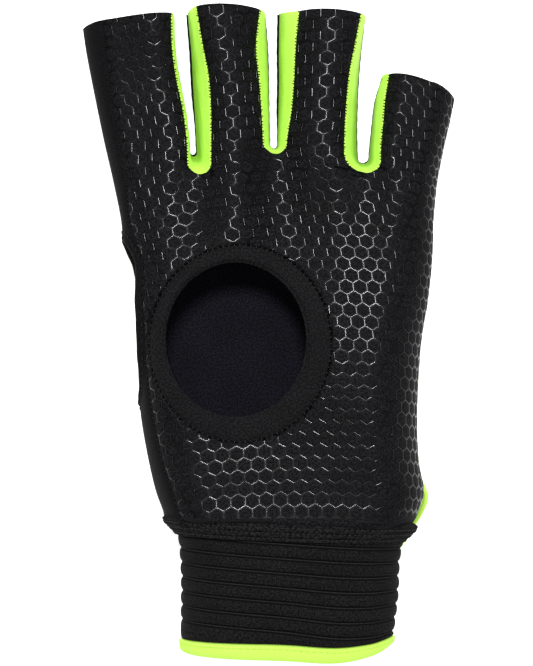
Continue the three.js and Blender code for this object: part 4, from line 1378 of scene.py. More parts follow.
@dataclass
class Shell:
    """The palm or the back: four fingers' columns of cloth that join on the hand."""

    layer: Layer
    grip: GripPattern
    hand_rows: int = 112
    finger_rows: int = 52
    columns: int = 24
    seam_depth: float = 0.55
    seam_width: float = 0.9
    panels: list[Panel] = field(default_factory=list)

    def __post_init__(self) -> None:
        """Works out the panels."""
        upward = self.layer is Layer.PALM
        self.panels = [
            self.panel(finger).drawn_in(self.seam_depth, self.seam_width, upward)
            for finger in range(len(FINGERS))
        ]

    def rows(self) -> Array:
        """Row values from the wrist to the fingertips, closer together at the finger roots."""
        hand = np.linspace(0, 1, self.hand_rows)
        share = np.linspace(0, 1, self.finger_rows)[1:]
        return np.concatenate([hand, 1 + share**1.6])[:, None]

    def panel(self, finger: int) -> Panel:
        """One finger's columns, with the rolled side where it has one.

        Args:
            finger: which finger.

        Returns:
            The sheet. Its unrolled plan on a rolled side goes on by the distance round the roll.
        """
        row = self.rows()
        across = np.linspace(0, 1, self.columns)[None]
        points = FORM.surface(finger, across, row, self.layer)
        along = np.clip(row - 1, 0, 1)
        place = points[..., :2].copy()
        width = np.abs(points[:, -1:, 0] - points[:, :1, 0])
        sewn = smoothstep(along, 0, 0.05)
        far = np.where(sewn > 0, 0.0, 99.0) + 3 * (1 - sewn)
        left = across * width + (99.0 if finger == 0 else far)
        right = (1 - across) * width + (99.0 if finger == len(FINGERS) - 1 else far)
        edge = np.minimum(left, right)
        if finger in (0, len(FINGERS) - 1):
            points, place, edge = self.with_roll(finger, row, points, place, edge)
        return Panel(points, self.grip.flat(place, along, finger), edge)

    def with_roll(self, finger: int, row: Array, points: Array, place: Array,
                  edge: Array) -> tuple[Array, Array, Array]:
        """Adds the rolled side to the index or the little finger's columns.

        Args:
            finger: 0 or 3.
            row: row values.
            points: the columns' points.
            place: the columns' unrolled places.
            edge: the columns' distances to a sewn edge.

        Returns:
            Points, unrolled places and distances with the roll's columns added.
        """
        palm = self.layer is Layer.PALM
        turn = np.full_like(row, FORM.under_seam_angle)
        if finger == 0:
            turn = FORM.seam_angle(FORM.outer_y(0, row, np.array(1.0)))
        span = turn if palm else np.pi - turn
        count = max(8, int(np.ceil(span.max() * 20)))
        share = np.linspace(0, 1, count)[None, 1:]
        angle = span * share if palm else np.pi - span * share
        roll = FORM.roll(finger, angle, row)
        inner = points[:, :1] if finger == 0 else points[:, -1:]
        path = np.concatenate([inner, roll], axis=1)
        arc = np.cumsum(np.linalg.norm(np.diff(path, axis=1), axis=-1), axis=1)
        outward = -1 if finger == 0 else 1
        start = place[:, :1, 0] if finger == 0 else place[:, -1:, 0]
        flat = stacked(start + outward * arc, roll[..., 1])
        distance = arc[:, -1:] - arc
        if finger == 0:
            parts = (roll[:, ::-1], points), (flat[:, ::-1], place), (distance[:, ::-1], edge)
        else:
            parts = (points, roll), (place, flat), (edge, distance)
        together = [np.concatenate(pair, axis=1) for pair in parts]
        return together[0], together[1], together[2]

    def surface(self) -> Surface:
        """All panels as one surface."""
        flip = self.layer is Layer.BACK
        sheets = [Surface.grid(p.points, p.pattern, flip) for p in self.panels]
        return sheets[0].joined(*sheets[1:])


@dataclass
class GripPalm:
    """The palm's hexagon cloth with the round opening for its window, and its printed lines."""

    grip: GripPattern
    wall: float = 1.6
    opening_gap: float = 0.15
    opening_depth: float = 0.5
    line_half_width: float = 0.21
    line_height: float = 0.05
    line_sunk: float = 0.02
    line_foot: float = 0.07
    line_shares: tuple[float, ...] = (0.0, 0.03, 0.5, 0.97, 1.0)
    overlap: float = 0.025
    edge_margin: float = 0.35
    print_end: float = -56.2
    edge_lift: float = 1.9

    def build(self) -> Shell:
        """Makes the palm cloth and the printed lines.

        Returns:
            The palm's shell, for the pieces that are sewn to it.
        """
        shell = Shell(Layer.PALM, self.grip)
        self.dip_round_window(shell)
        self.draw_up_edge(shell)
        surface = self.cut_window(shell.surface())
        cloth = surface.piece("palm_cloth", Slot.GRIP, [FINISHES.grip, FINISHES.lining])
        thicken(cloth, self.wall, inner=1)
        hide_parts("palm_panel")
        surface = self.lines(shell)
        surface.piece("grip_lines", Slot.GRIP, [FINISHES.grip_print])
        return shell

    def dip_round_window(self, shell: Shell) -> None:
        """Draws the cloth down to the seam round the window: depth times e to the -distance."""
        for panel in shell.panels:
            away = RING_OUTSIDE.clearance(panel.points[..., 0], panel.points[..., 1])
            panel.points[..., 2] -= self.opening_depth * np.exp(-np.abs(away) / 0.9)

    def draw_up_edge(self, shell: Shell) -> None:
        """Draws the cloth's lower edge up on the thumb side, where the gathered band shows more."""
        for panel in shell.panels:
            lift = self.edge_lift * (1 - smoothstep(panel.points[..., 0], -6.0, 14.0))
            panel.points[..., 1] += lift * smoothstep(-panel.points[..., 1], 56.4, 60.8)

    def cut_window(self, surface: Surface) -> Surface:
        """Cuts the round opening into the palm's cloth.

        Args:
            surface: the palm's surface.

        Returns:
            The surface with the opening.
        """
        rim = Ellipse(RING_OUTSIDE.x, RING_OUTSIDE.y, RING_OUTSIDE.rx + self.opening_gap,
                      RING_OUTSIDE.ry + self.opening_gap)
        centre = np.array([rim.x, rim.y])

        def onto_rim(points: Array, share: Array) -> Array:
            """Moves points straight out from the opening's middle, at the seam's height."""
            moved = centre + (points[:, :2] - centre) / share[:, None]
            height = FORM.palm_height(moved[:, 0], moved[:, 1]) - self.opening_depth
            return np.column_stack([moved, height])

        return surface.opened(rim.share(surface.points[:, 0], surface.points[:, 1]), onto_rim)

    def lines(self, shell: Shell) -> Surface:
        """The printed lines: a low bead along each side of each hexagon, laid on the cloth.

        Each side is followed by a few points that are found on the cloth's sheets. A side that
        runs off the cloth is cut where it leaves it. The bead's section is a flat-topped arch
        on a foot inside the cloth, and its ends have a second section close by, so that its
        smooth shading stays even up to them.

        Args:
            shell: the palm's sheets.

        Returns:
            All beads as one surface.
        """
        starts, ends = self.grip.edges(120.0)
        tries = np.linspace(0, 1, 9)
        _, _, found = self.lay(shell, starts, ends, tries)
        first = np.where(found.any(1), tries[found.argmax(1)], 1.0)
        last = np.where(found.any(1), tries[len(tries) - 1 - found[:, ::-1].argmax(1)], 0.0)
        whole = (last - first > 0.3) & (found.sum(1) >= 2)
        run = ends - starts
        cut_starts = (starts + run * (first[:, None] - self.overlap))[whole]
        cut_ends = (starts + run * (last[:, None] + self.overlap))[whole]
        shares = np.array(self.line_shares)
        points, normals, found = self.lay(shell, cut_starts, cut_ends, shares)
        kept = found.all(1)
        points, normals = points[kept], normals[kept]
        along = unit(np.gradient(points, axis=1))
        side = unit(np.cross(along, normals))
        out = np.array([-1.0, -0.5, 0.5, 1.0, 0.9, -0.9, -1.0]) * self.line_half_width
        up = np.array([-self.line_sunk, self.line_height, self.line_height, -self.line_sunk,
                       -self.line_foot, -self.line_foot, -self.line_sunk])
        body = (points[:, :, None] + side[:, :, None] * out[:, None]
                + normals[:, :, None] * up[:, None])
        count, sections, sides = body.shape[:3]
        quads = (grid_quads(sections, sides)[None]
                 + np.arange(count)[:, None, None] * sections * sides).reshape(-1, 4)
        cap = np.array([[3, 2, 1, 0], [5, 4, 3, 0]])
        caps = np.concatenate([cap, cap[:, ::-1] + (sections - 1) * sides])
        caps = (caps[None] + np.arange(count)[:, None, None] * sections * sides).reshape(-1, 4)
        pattern = np.zeros((count, sections, sides, 2))
        pattern[...] = (cut_starts[kept, None] + (cut_ends - cut_starts)[kept, None]
                        * shares[:, None])[:, :, None]
        quads = np.concatenate([quads, caps])
        return Surface(body.reshape(-1, 3), quads, pattern.reshape(-1, 2))

    def lay(self, shell: Shell, starts: Array, ends: Array,
            shares: Array) -> tuple[Array, Array, Array]:
        """Lays points of flat lines on the cloth.

        Args:
            shell: the palm's sheets.
            starts: flat starts of the lines.
            ends: flat ends of the lines.
            shares: where along each line its points are, from 0 to 1.

        Returns:
            Points and outward directions, lines x shares x 3, and which points are on cloth.
        """
        flat = starts[:, None] + (ends - starts)[:, None] * shares[:, None]
        places = flat.reshape(-1, 2)
        points = np.zeros((len(places), 3))
        normals = np.zeros((len(places), 3))
        found = np.zeros(len(places), bool)
        for panel in shell.panels:
            spot, inside = panel.find(places)
            new = inside & ~found
            points[new] = panel.sample(panel.points, spot[new])
            normals[new] = unit(panel.sample(normals_of(panel.points), spot[new]))
            edge = panel.sample(panel.edge[..., None], spot[new])[:, 0]
            found[np.flatnonzero(new)[edge > self.edge_margin]] = True
        found &= RING_OUTSIDE.clearance(points[:, 0], points[:, 1]) > 0.7
        found &= points[:, 1] > self.print_end
        shape = flat.shape[:2]
        return points.reshape(*shape, 3), normals.reshape(*shape, 3), found.reshape(shape)


@dataclass
class ThumbHole:
    """The thumb's opening in the side: an ellipse in the side's plan, and its rolled binding."""

    y: float = 4.0
    z: float = 19.3
    ry: float = 26.0
    rz: float = 8.2
    slant: float = 0.02
    radius: float = 1.6
    seat: float = 1.1
    cut_outside: float = 0.4
    thumb_side_to: float = -20.0
    stitch_count: int = 66

    def rim(self, turn: Array, outside: float) -> tuple[Array, Array]:
        """y and z of the rim at an angle round it, a given distance outside its edge."""
        along = (self.ry + outside) * np.cos(turn)
        return self.y + along, self.z + (self.rz + outside) * np.sin(turn) + self.slant * along

    def share(self, y: Array, z: Array, outside: float) -> Array:
        """How far out a place is: 0 in the middle, 1 on the rim."""
        along = y - self.y
        up = z - self.z - self.slant * along
        return np.hypot(along / (self.ry + outside), up / (self.rz + outside))

    def cut(self, surface: Surface) -> Surface:
        """Cuts the thumb's opening into the back's cloth.

        Args:
            surface: the back's surface.

        Returns:
            The surface with the opening, whose rim the binding covers.
        """
        x, y, z = surface.points.T
        share = np.where(x > self.thumb_side_to, 9.0, self.share(y, z, self.cut_outside))

        def onto_rim(points: Array, share: Array) -> Array:
            """Moves points straight out from the opening's middle, on the glove's side."""
            away = points[:, 1] - self.y
            along = away / share
            up = (points[:, 2] - self.z - self.slant * away) / share
            y, z = self.y + along, self.z + up + self.slant * along
            return np.column_stack([FORM.side_x(y, z), y, z])

        return surface.opened(share, onto_rim)

    def build(self) -> None:
        """Makes the rolled binding, a tube that swells and narrows a little, and its stitches."""
        turn = np.linspace(0, 2 * np.pi, 181)
        y, z = self.rim(turn, 0.0)
        centre = stacked(FORM.side_x(y, z) + self.seat, y, z)
        away = stacked(np.zeros_like(turn), np.cos(turn), np.sin(turn))
        swell = 1 + 0.05 * np.sin(7 * turn) + 0.03 * np.sin(19 * turn + 1.0)
        surface = tube(centre, away, self.radius * swell, 20, closed=True)
        binding = surface.piece("thumb_binding_roll", Slot.STRETCH, [FINISHES.stretch])
        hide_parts("thumb_hole_binding")
        spots = np.linspace(0, 2 * np.pi, self.stitch_count + 1)[:-1]
        y, z = self.rim(spots, self.radius + 0.5)
        seat = stacked(FORM.side_x(y, z), y, z)
        out = stacked(-np.ones_like(spots), 0 * spots, 0 * spots)
        along = stacked(0 * spots, -np.sin(spots) * self.ry, np.cos(spots) * self.rz)
        stitches(seat, along, out, 1.5, 0.16).piece(
            "thumb_binding_stitches", Slot.STRETCH, [FINISHES.black_thread])


@dataclass
class BackShell:
    """The stretch cloth of the back and the thumb side, lined with navy mesh."""

    grip: GripPattern
    hole: ThumbHole
    wall: float = 1.8

    def build(self) -> Shell:
        """Makes the back cloth.

        Returns:
            The back's shell, for the pieces that are sewn to it.
        """
        shell = Shell(Layer.BACK, self.grip)
        surface = self.hole.cut(shell.surface())
        cloth = surface.piece("back_cloth", Slot.STRETCH, [FINISHES.stretch, FINISHES.lining])
        thicken(cloth, self.wall, inner=1)
        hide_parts("back_shell")
        self.side_seam()
        return shell

    def side_seam(self) -> None:
        """Stitches along the seam between the palm's cloth and the plain thumb side."""
        row = np.linspace(0.02, 1.98, 130)
        angle = FORM.seam_angle(FORM.outer_y(0, row, np.array(1.0)))
        points = FORM.roll(0, angle, row)
        along = np.gradient(points, axis=0)
        out = stacked(-np.sin(angle), 0 * angle, np.cos(angle))
        seat = points - unit(out) * 0.35
        stitches(seat, np.cross(along, out), out, 1.1, 0.13).piece(
            "side_seam_stitches", Slot.STRETCH, [FINISHES.black_thread])


@dataclass
class Gussets:
    """The lime strips between the fingers, their black seams and their small stitches."""

    wall: float = 1.0
    belly: float = 0.35
    stitch_step: float = 0.95
    piping_radius: float = 0.36
    piping_from: tuple[float, float, float] = (0.6, 0.55, 9.0)
    crease: Ripple = Ripple(0.16, 14.0, 5.0, seed=23)

    def build(self) -> None:
        """Makes the three strips, and the seams along their edges."""
        seams, pipings = [], []
        for index, notch in enumerate(NOTCHES):
            palm, back = self.rails(index)
            strip = self.strip(palm, back).piece(f"gusset_{notch.name}", Slot.LIME,
                                                 [FINISHES.gap_lime])
            thicken(strip, self.wall)
            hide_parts(f"fourchette_{notch.name}")
            seams.append(self.seam(palm))
            pipings.append(self.piping(index, back))
        seams[0].joined(*seams[1:]).piece("gusset_stitches", Slot.STRETCH, [FINISHES.black_thread])
        pipings[0].joined(*pipings[1:]).piece("gusset_back_piping", Slot.STRETCH, [FINISHES.stretch])

    def rails(self, index: int) -> tuple[Array, Array]:
        """The strip's two edges: down one finger's side, round the gap's end, up the next."""
        along = np.linspace(0, 1, 64) ** 1.6
        rails = []
        for layer in (Layer.PALM, Layer.BACK):
            down = FORM.surface(index, np.array(1.0), 1 + along[::-1], layer)
            up = FORM.surface(index + 1, np.array(0.0), 1 + along[1:], layer)
            rails.append(np.concatenate([down, up]))
        return rails[0], rails[1]

    def outward(self, palm: Array) -> Array:
        """Level directions out of the strip, into the gap, across its run."""
        run = np.gradient(palm, axis=0)
        return unit(stacked(-run[:, 1], run[:, 0], 0 * run[:, 0]))

    def strip(self, palm: Array, back: Array) -> Surface:
        """The strip: straight lines between its edges, with a low belly and soft creases.

        Args:
            palm: its upper edge.
            back: its lower edge.

        Returns:
            The surface; its pattern runs along and down the strip.
        """
        down = np.linspace(0.015, 0.985, 22)[None, :, None]
        points = lerp(palm[:, None], back[:, None], down)
        length = np.cumsum(np.linalg.norm(np.gradient(palm, axis=0), axis=-1))[:, None]
        depth = np.linalg.norm(back - palm, axis=-1)[:, None] * down[..., 0]
        arch = np.sin(np.pi * down[..., 0])
        drawn = -0.35 * np.exp(-np.minimum(down[..., 0], 1 - down[..., 0]) * 16 / 0.9)
        bulge = self.belly * arch + self.crease.at(length, depth * 2.2) * arch + drawn
        points = points + self.outward(palm)[:, None] * bulge[..., None]
        return Surface.grid(points, stacked(length, depth), flip=True)

    def seam(self, palm: Array) -> Surface:
        """Small stitches across the strip's upper edge, evenly spaced along it.

        Args:
            palm: the upper edge.

        Returns:
            The stitches, each a little out of line with the next.
        """
        place, out = self.spaced(palm, self.stitch_step)
        up = np.array([0, 0, 1.0])
        rng = np.random.default_rng(len(place))
        shift = rng.uniform(-0.2, 0.2, (len(place), 1))
        along = np.gradient(place, axis=0)
        centre = place - up * 0.2 + out * (shift * 0.9 - 0.36) + unit(along) * shift * 1.2
        slant = out - up * 0.6 + unit(along) * shift * 3
        return stitches(centre, slant, unit(out * 0.6 + up), 0.64, 0.18)

    def piping(self, index: int, back: Array) -> Surface:
        """The narrow black seam along the strip's lower edge.

        Args:
            index: which strip.
            back: the lower edge.

        Returns:
            A thin tube, tucked under the lime, except on the thumb sides of the middle and
            ring fingers, where it shows.
        """
        place, out = self.spaced(back, 0.8)
        share = np.linspace(0, 1, len(place))
        first = self.piping_from[index]
        shows = smoothstep(share, first, first + 0.12)
        offset = lerp(-self.piping_radius, 0.02, shows)
        centre = place + out * offset[:, None] + np.array([0, 0, 0.15])
        size = self.piping_radius * (1 + 0.12 * np.sin(np.arange(len(centre)) * 1.3))
        return tube(centre, out, size, 8, closed=False)

    def spaced(self, rail: Array, step: float) -> tuple[Array, Array]:
        """Points at equal steps along an edge, and the directions out of it."""
        distance = np.concatenate([[0], np.cumsum(np.linalg.norm(np.diff(rail, axis=0), axis=-1))])
        count = int(distance[-1] / step)
        at = np.linspace(0.4, distance[-1] - 0.4, count)
        place = stacked(*(np.interp(at, distance, rail[:, k]) for k in range(3)))
        return place, self.outward(place)


@dataclass
class WindowBand:
    """The brushed band round the palm's window: rolled down at the opening, sewn at its outside."""

    proud: float = 0.2
    roll: float = 0.9
    wall: float = 2.2
    turns: int = 181
    shares: int = 26
    stitch_count: int = 104

    def point(self, turn: Array, share: Array) -> Array:
        """Points from the opening (share 0) to the seam (share 1).

        The height is the palm's, less a roll at the opening and a groove at the seam.
        """
        inside, outside = WINDOW.at(turn), RING_OUTSIDE.at(turn)
        x = lerp(inside[..., 0], outside[..., 0], share)
        y = lerp(inside[..., 1], outside[..., 1], share)
        width = np.linalg.norm(outside - inside, axis=-1)
        rolled = self.roll * (1 - smoothstep(share, 0, 0.3)) ** 1.5
        groove = 0.75 * np.exp(-(1 - share) * width / 0.95)
        crown = 0.25 * np.sin(np.pi * np.clip(share, 0, 1))
        return stacked(x, y, FORM.palm_height(x, y) + self.proud + crown - rolled - groove)

    def build(self) -> None:
        """Makes the band and the stitches of its outer seam."""
        turn = np.linspace(0, 2 * np.pi, self.turns)[:, None]
        share = (1 - np.cos(np.linspace(0, 1, self.shares) * np.pi))[None] / 2
        points = self.point(turn, share)
        surface = Surface.grid(points, points[..., :2])
        band = surface.piece("window_band_cloth", Slot.WINDOW, [FINISHES.band, FINISHES.lining])
        thicken(band, self.wall, inner=1)
        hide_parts("palm_window_ring")
        spots = np.linspace(0, 2 * np.pi, self.stitch_count + 1)[:-1]
        seat = self.point(spots, np.full_like(spots, 1.0))
        seat[:, 2] += 0.12
        radial = RING_OUTSIDE.at(spots) - np.array([RING_OUTSIDE.x, RING_OUTSIDE.y])
        along = stacked(radial[:, 0], radial[:, 1], 0 * spots)
        up = np.broadcast_to([0.0, 0.0, 1.0], along.shape)
        stitches(seat, along, up, 0.9, 0.14).piece(
            "window_band_stitches", Slot.WINDOW, [FINISHES.grey_thread])


@dataclass
class Cuff:
    """The elastic wrist band: gathered at its top, then ribs that slope a little."""

    shape: Curves = Curves((
        (-61.3, 7.4, 36.2, 15.8), (-68, 7.2, 34.8, 15.8), (-80, 7.3, 34.1, 15.8),
        (-94, 6.5, 33.4, 16.0), (-101, 6.3, 33.0, 16.0)))
    centre_z: float = 21.5
    squareness: float = 2.35
    top_y: float = -61.3
    end_y: float = -95.3
    first_groove: float = RIB_START
    rib_pitch: float = RIB_PITCH
    rib_height: float = 1.15
    tilt: float = 0.068
    tilt_x: float = 6.8
    drop: float = 1.3
    rise: float = 0.9
    wall: float = 3.0

    def ring(self, turn: Array, y: Array, out: Array) -> Array:
        """Points of the band's outside, a superellipse across, out from its wall by an amount."""
        cos, sin = np.cos(turn), np.sin(turn)
        wide = self.shape.at(y, 2) + out
        deep = self.shape.at(y, 3) + out
        reach = superellipse(cos, sin, self.squareness)
        x = self.shape.at(y, 1) + wide * cos * reach
        return stacked(x, y, self.centre_z + deep * sin * reach)

    def tilted(self, points: Array) -> Array:
        """The points with the ribs' slope: y falls towards the little finger side."""
        y = points[..., 1]
        free = np.clip(np.minimum(self.top_y - y, y - self.end_y) / 3.0, 0, 1)
        points = points.copy()
        points[..., 1] -= self.tilt * (points[..., 0] - self.tilt_x) * free
        return points

    def sagged(self, points: Array) -> Array:
        """The points with the lower end let down in the middle and drawn up at its end.

        The shift grows from none at the band's top: a bell curve, less a step.
        """
        x, y = points[..., 0], points[..., 1]
        share = np.clip((self.top_y - y) / (self.top_y - self.end_y), 0, 1) ** 1.5
        shift = self.drop * np.exp(-(((x - 22.0) / 12.0) ** 2))
        shift = shift - self.rise * smoothstep(x, 32.0, 40.0)
        points = points.copy()
        points[..., 1] -= shift * share
        return points

    def ribs(self, y: Array) -> Array:
        """How far the surface stands out of the band's wall: -1 in a groove, 0 on a rib.

        Each rib is a broad arch, |sin| to a low power. The groove beside it is narrow, and a
        thin cord lies in it.
        """
        phase = (self.first_groove - y) / self.rib_pitch
        near = (phase + 0.5) % 1.0 - 0.5
        arch = 0.6 * (np.abs(np.sin(np.pi * phase)) ** 0.6 - 1)
        groove = -0.4 * np.exp(-((near / 0.09) ** 2))
        cord = 0.5 * np.exp(-((near / 0.03) ** 2))
        return np.where(phase > -0.5, arch + groove + cord, arch)

    def build(self) -> None:
        """Makes the band as one closed wall, its outside first and its inside behind it."""
        turn = np.linspace(0, 2 * np.pi, 221)[:, None]
        y = np.linspace(self.top_y, self.end_y, 250)[None]
        arc = turn * 30.0
        sag = Ripple(0.25, 60.0, 14.0, seed=11).at(arc, y * 1.3)
        out = self.rib_height * self.ribs(y) + 0.5 * sag * (np.sin(turn) > 0)
        outside = self.sagged(self.tilted(self.ring(turn, y + 0 * turn, out)))
        back = np.linspace(self.end_y, self.top_y, 12)[None]
        inside = self.sagged(self.tilted(self.ring(turn, back + 0 * turn, -self.wall + 0 * turn)))
        points = np.concatenate([outside, inside, outside[:, :1]], axis=1)
        rows = np.concatenate([y[0], back[0], y[0, :1]])
        pattern = stacked(arc, rows[None] + 0 * arc)
        surface = Surface.grid(points, pattern, flip=True)
        cuff = surface.piece("elastic_cuff", Slot.CUFF, [FINISHES.cuff])
        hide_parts("ribbed_cuff")


@dataclass
class WristFold:
    """The gathered band between the palm's lower edge and the cuff's ribs, and its stitch rows."""

    cuff: Cuff
    top_y: float = -57.9
    end_y: float = -64.3
    palm_y: float = -58.6
    squareness: float = 2.6
    slope: float = 0.035
    slope_x: float = 7.0
    wall: float = 1.3
    tuck: float = 1.5
    row_pitch: float = 1.75
    pucker_pitch: float = 1.55
    pucker_depth: float = 0.36
    rows: tuple[float, ...] = (-59.7, -61.35, -63.1)
    wrinkle: Ripple = Ripple(0.14, 12.0, 3.0, seed=8)

    def section(self, turn: Array, out: Array) -> Array:
        """A loop round the glove at the palm's lower edge: a superellipse on the palm's height."""
        skin = [FORM.skin.at(np.array(self.palm_y), k) for k in (1, 3, 4)]
        middle, wide = (skin[0] + skin[1]) / 2, (skin[1] - skin[0]) / 2 + out
        centre, deep = (skin[2] + FORM.hand_base) / 2, (skin[2] - FORM.hand_base) / 2 + out
        cos, sin = np.cos(turn), np.sin(turn)
        reach = superellipse(cos, sin, self.squareness)
        x = middle + wide * cos * reach
        rise = FORM.palm_height(x, np.full_like(x, self.palm_y)) - skin[2]
        rise = rise * smoothstep(sin, 0.55, 0.9)
        return stacked(x, self.palm_y + 0 * x, centre + deep * sin * reach + rise)

    def point(self, turn: Array, y: Array, out: Array) -> Array:
        """Points of the band: from the glove's section at its top to the cuff's at its end."""
        share = smoothstep(-y, -self.palm_y, -self.end_y)[..., None]
        points = lerp(self.section(turn, out), self.cuff.ring(turn, y, out), share)
        points[..., 1] = y - self.slope * (points[..., 0] - self.slope_x)
        return points

    def build(self) -> None:
        """Makes the band as one closed wall, and its rows of stitches.

        Rows of small puckers run round it, each row shifted by half a pucker; its top is tucked
        under the palm's edge, and its end stands a little over the cuff.
        """
        turn = np.linspace(0, 2 * np.pi, 421)[:, None]
        arc = turn * 38.0
        y = np.linspace(self.top_y, self.end_y, 34)[None]
        row = (self.rows[0] - y) / self.row_pitch
        lift = np.abs(np.sin(np.pi * row)) ** 0.7
        shifted = np.where(np.floor(row) % 2 > 0, 0.5, 0.0)
        pucker = np.abs(np.sin(np.pi * (arc / self.pucker_pitch + shifted))) ** 0.8
        tuck = self.tuck * (1 - smoothstep(-y, -self.top_y, -self.top_y + 1.6))
        hem = 1.1 * smoothstep(-y, -self.end_y - 0.5, -self.end_y)
        out = self.pucker_depth * (lift * (1 + pucker) - 1) + self.wrinkle.at(arc, y) - tuck - hem
        outside = self.point(turn + 0 * y, y + 0 * turn, out + 0.5)
        back = np.linspace(self.end_y, self.top_y, 5)[None]
        inside = self.point(turn + 0 * back, back + 0 * turn, -self.wall - 0.6 + 0 * (turn + back))
        inside[-1] = inside[0]
        outside[-1] = outside[0]
        points = np.concatenate([outside, inside, outside[:, :1]], axis=1)
        rows = np.concatenate([y[0], back[0], y[0, :1]])
        surface = Surface.grid(points, stacked(arc, rows[None] + 0 * arc), flip=True)
        surface.piece("wrist_fold", Slot.CUFF, [FINISHES.gathered])
        sewn = [self.row(y) for y in self.rows]
        sewn[0].joined(*sewn[1:]).piece("gathering_stitches", Slot.CUFF, [FINISHES.grey_thread])

    def row(self, y: float) -> Surface:
        """One row of short stitches round the band."""
        turn = np.linspace(0, 2 * np.pi, 155)[:-1]
        seat = self.point(turn, np.full_like(turn, y), 0.4 + 0 * turn)
        away = unit(stacked(np.cos(turn) * 0.6, 0 * turn, np.sin(turn)))
        slant = stacked(-np.sin(turn), np.where(np.arange(len(turn)) % 2, 0.25, -0.25),
                        np.cos(turn) * 0.5)
        return stitches(seat, slant, away, 1.05, 0.15)


@dataclass
class Hem:
    """The lime binding round the cuff's end."""

    cuff: Cuff
    top_y: float = -95.6
    end_y: float = -100.4
    proud: float = 0.3
    wall: float = 3.7
    bow_left: float = 0.9
    bow_right: float = 2.6
    crease: Ripple = Ripple(0.12, 16.0, 4.0, seed=31)

    def bowed(self, points: Array, turn: Array) -> Array:
        """The points with the end bent up towards both sides, as the cube of |cos|."""
        across = np.cos(turn)
        bow = np.where(across < 0, self.bow_left, self.bow_right) * np.abs(across) ** 3
        points = points.copy()
        points[..., 1] += bow * (points[..., 1] - self.top_y) / (self.end_y - self.top_y)
        return self.cuff.sagged(points)

    def build(self) -> None:
        """Makes the binding, a closed loop with a rounded section, and its stitch line."""
        turn = np.linspace(0, 2 * np.pi, 221)[:, None]
        angle = np.linspace(0, 2 * np.pi, 37)[None]
        cos, sin = np.cos(angle), np.sin(angle)
        reach = superellipse(cos, sin, 4.0)
        long = (self.top_y - self.end_y) / 2
        middle_y = (self.top_y + self.end_y) / 2
        thick = (self.wall + 0.1) / 2
        y = middle_y + long * sin * reach + 0 * turn
        crease = self.crease.at(turn * 34, y) * (1 + cos) / 2
        bulge = 0.25 * (1 - ((y - middle_y) / long) ** 2)
        out = self.proud - thick + thick * cos * reach + (bulge + crease) * np.clip(cos, 0, 1)
        points = self.bowed(self.cuff.ring(turn, y, out), turn)
        pattern = stacked(turn * 34 + 0 * angle, angle * 2.2 + 0 * turn)
        surface = Surface.grid(points, pattern)
        hem = surface.piece("lime_hem", Slot.LIME, [FINISHES.lime])
        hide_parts("cuff_hem")
        spots = np.linspace(0, 2 * np.pi, 105)[:-1]
        y = np.full_like(spots, self.top_y - 1.1)
        seat = self.bowed(self.cuff.ring(spots, y, self.proud + 0.3 + 0 * spots), spots)
        along = np.roll(seat, -1, axis=0) - np.roll(seat, 1, axis=0)
        away = unit(stacked(np.cos(spots) * 0.6, 0 * spots, np.sin(spots)))
        stitches(seat, along, away, 1.5, 0.12).piece("hem_stitches", Slot.LIME,
                                                     [FINISHES.lime_thread])


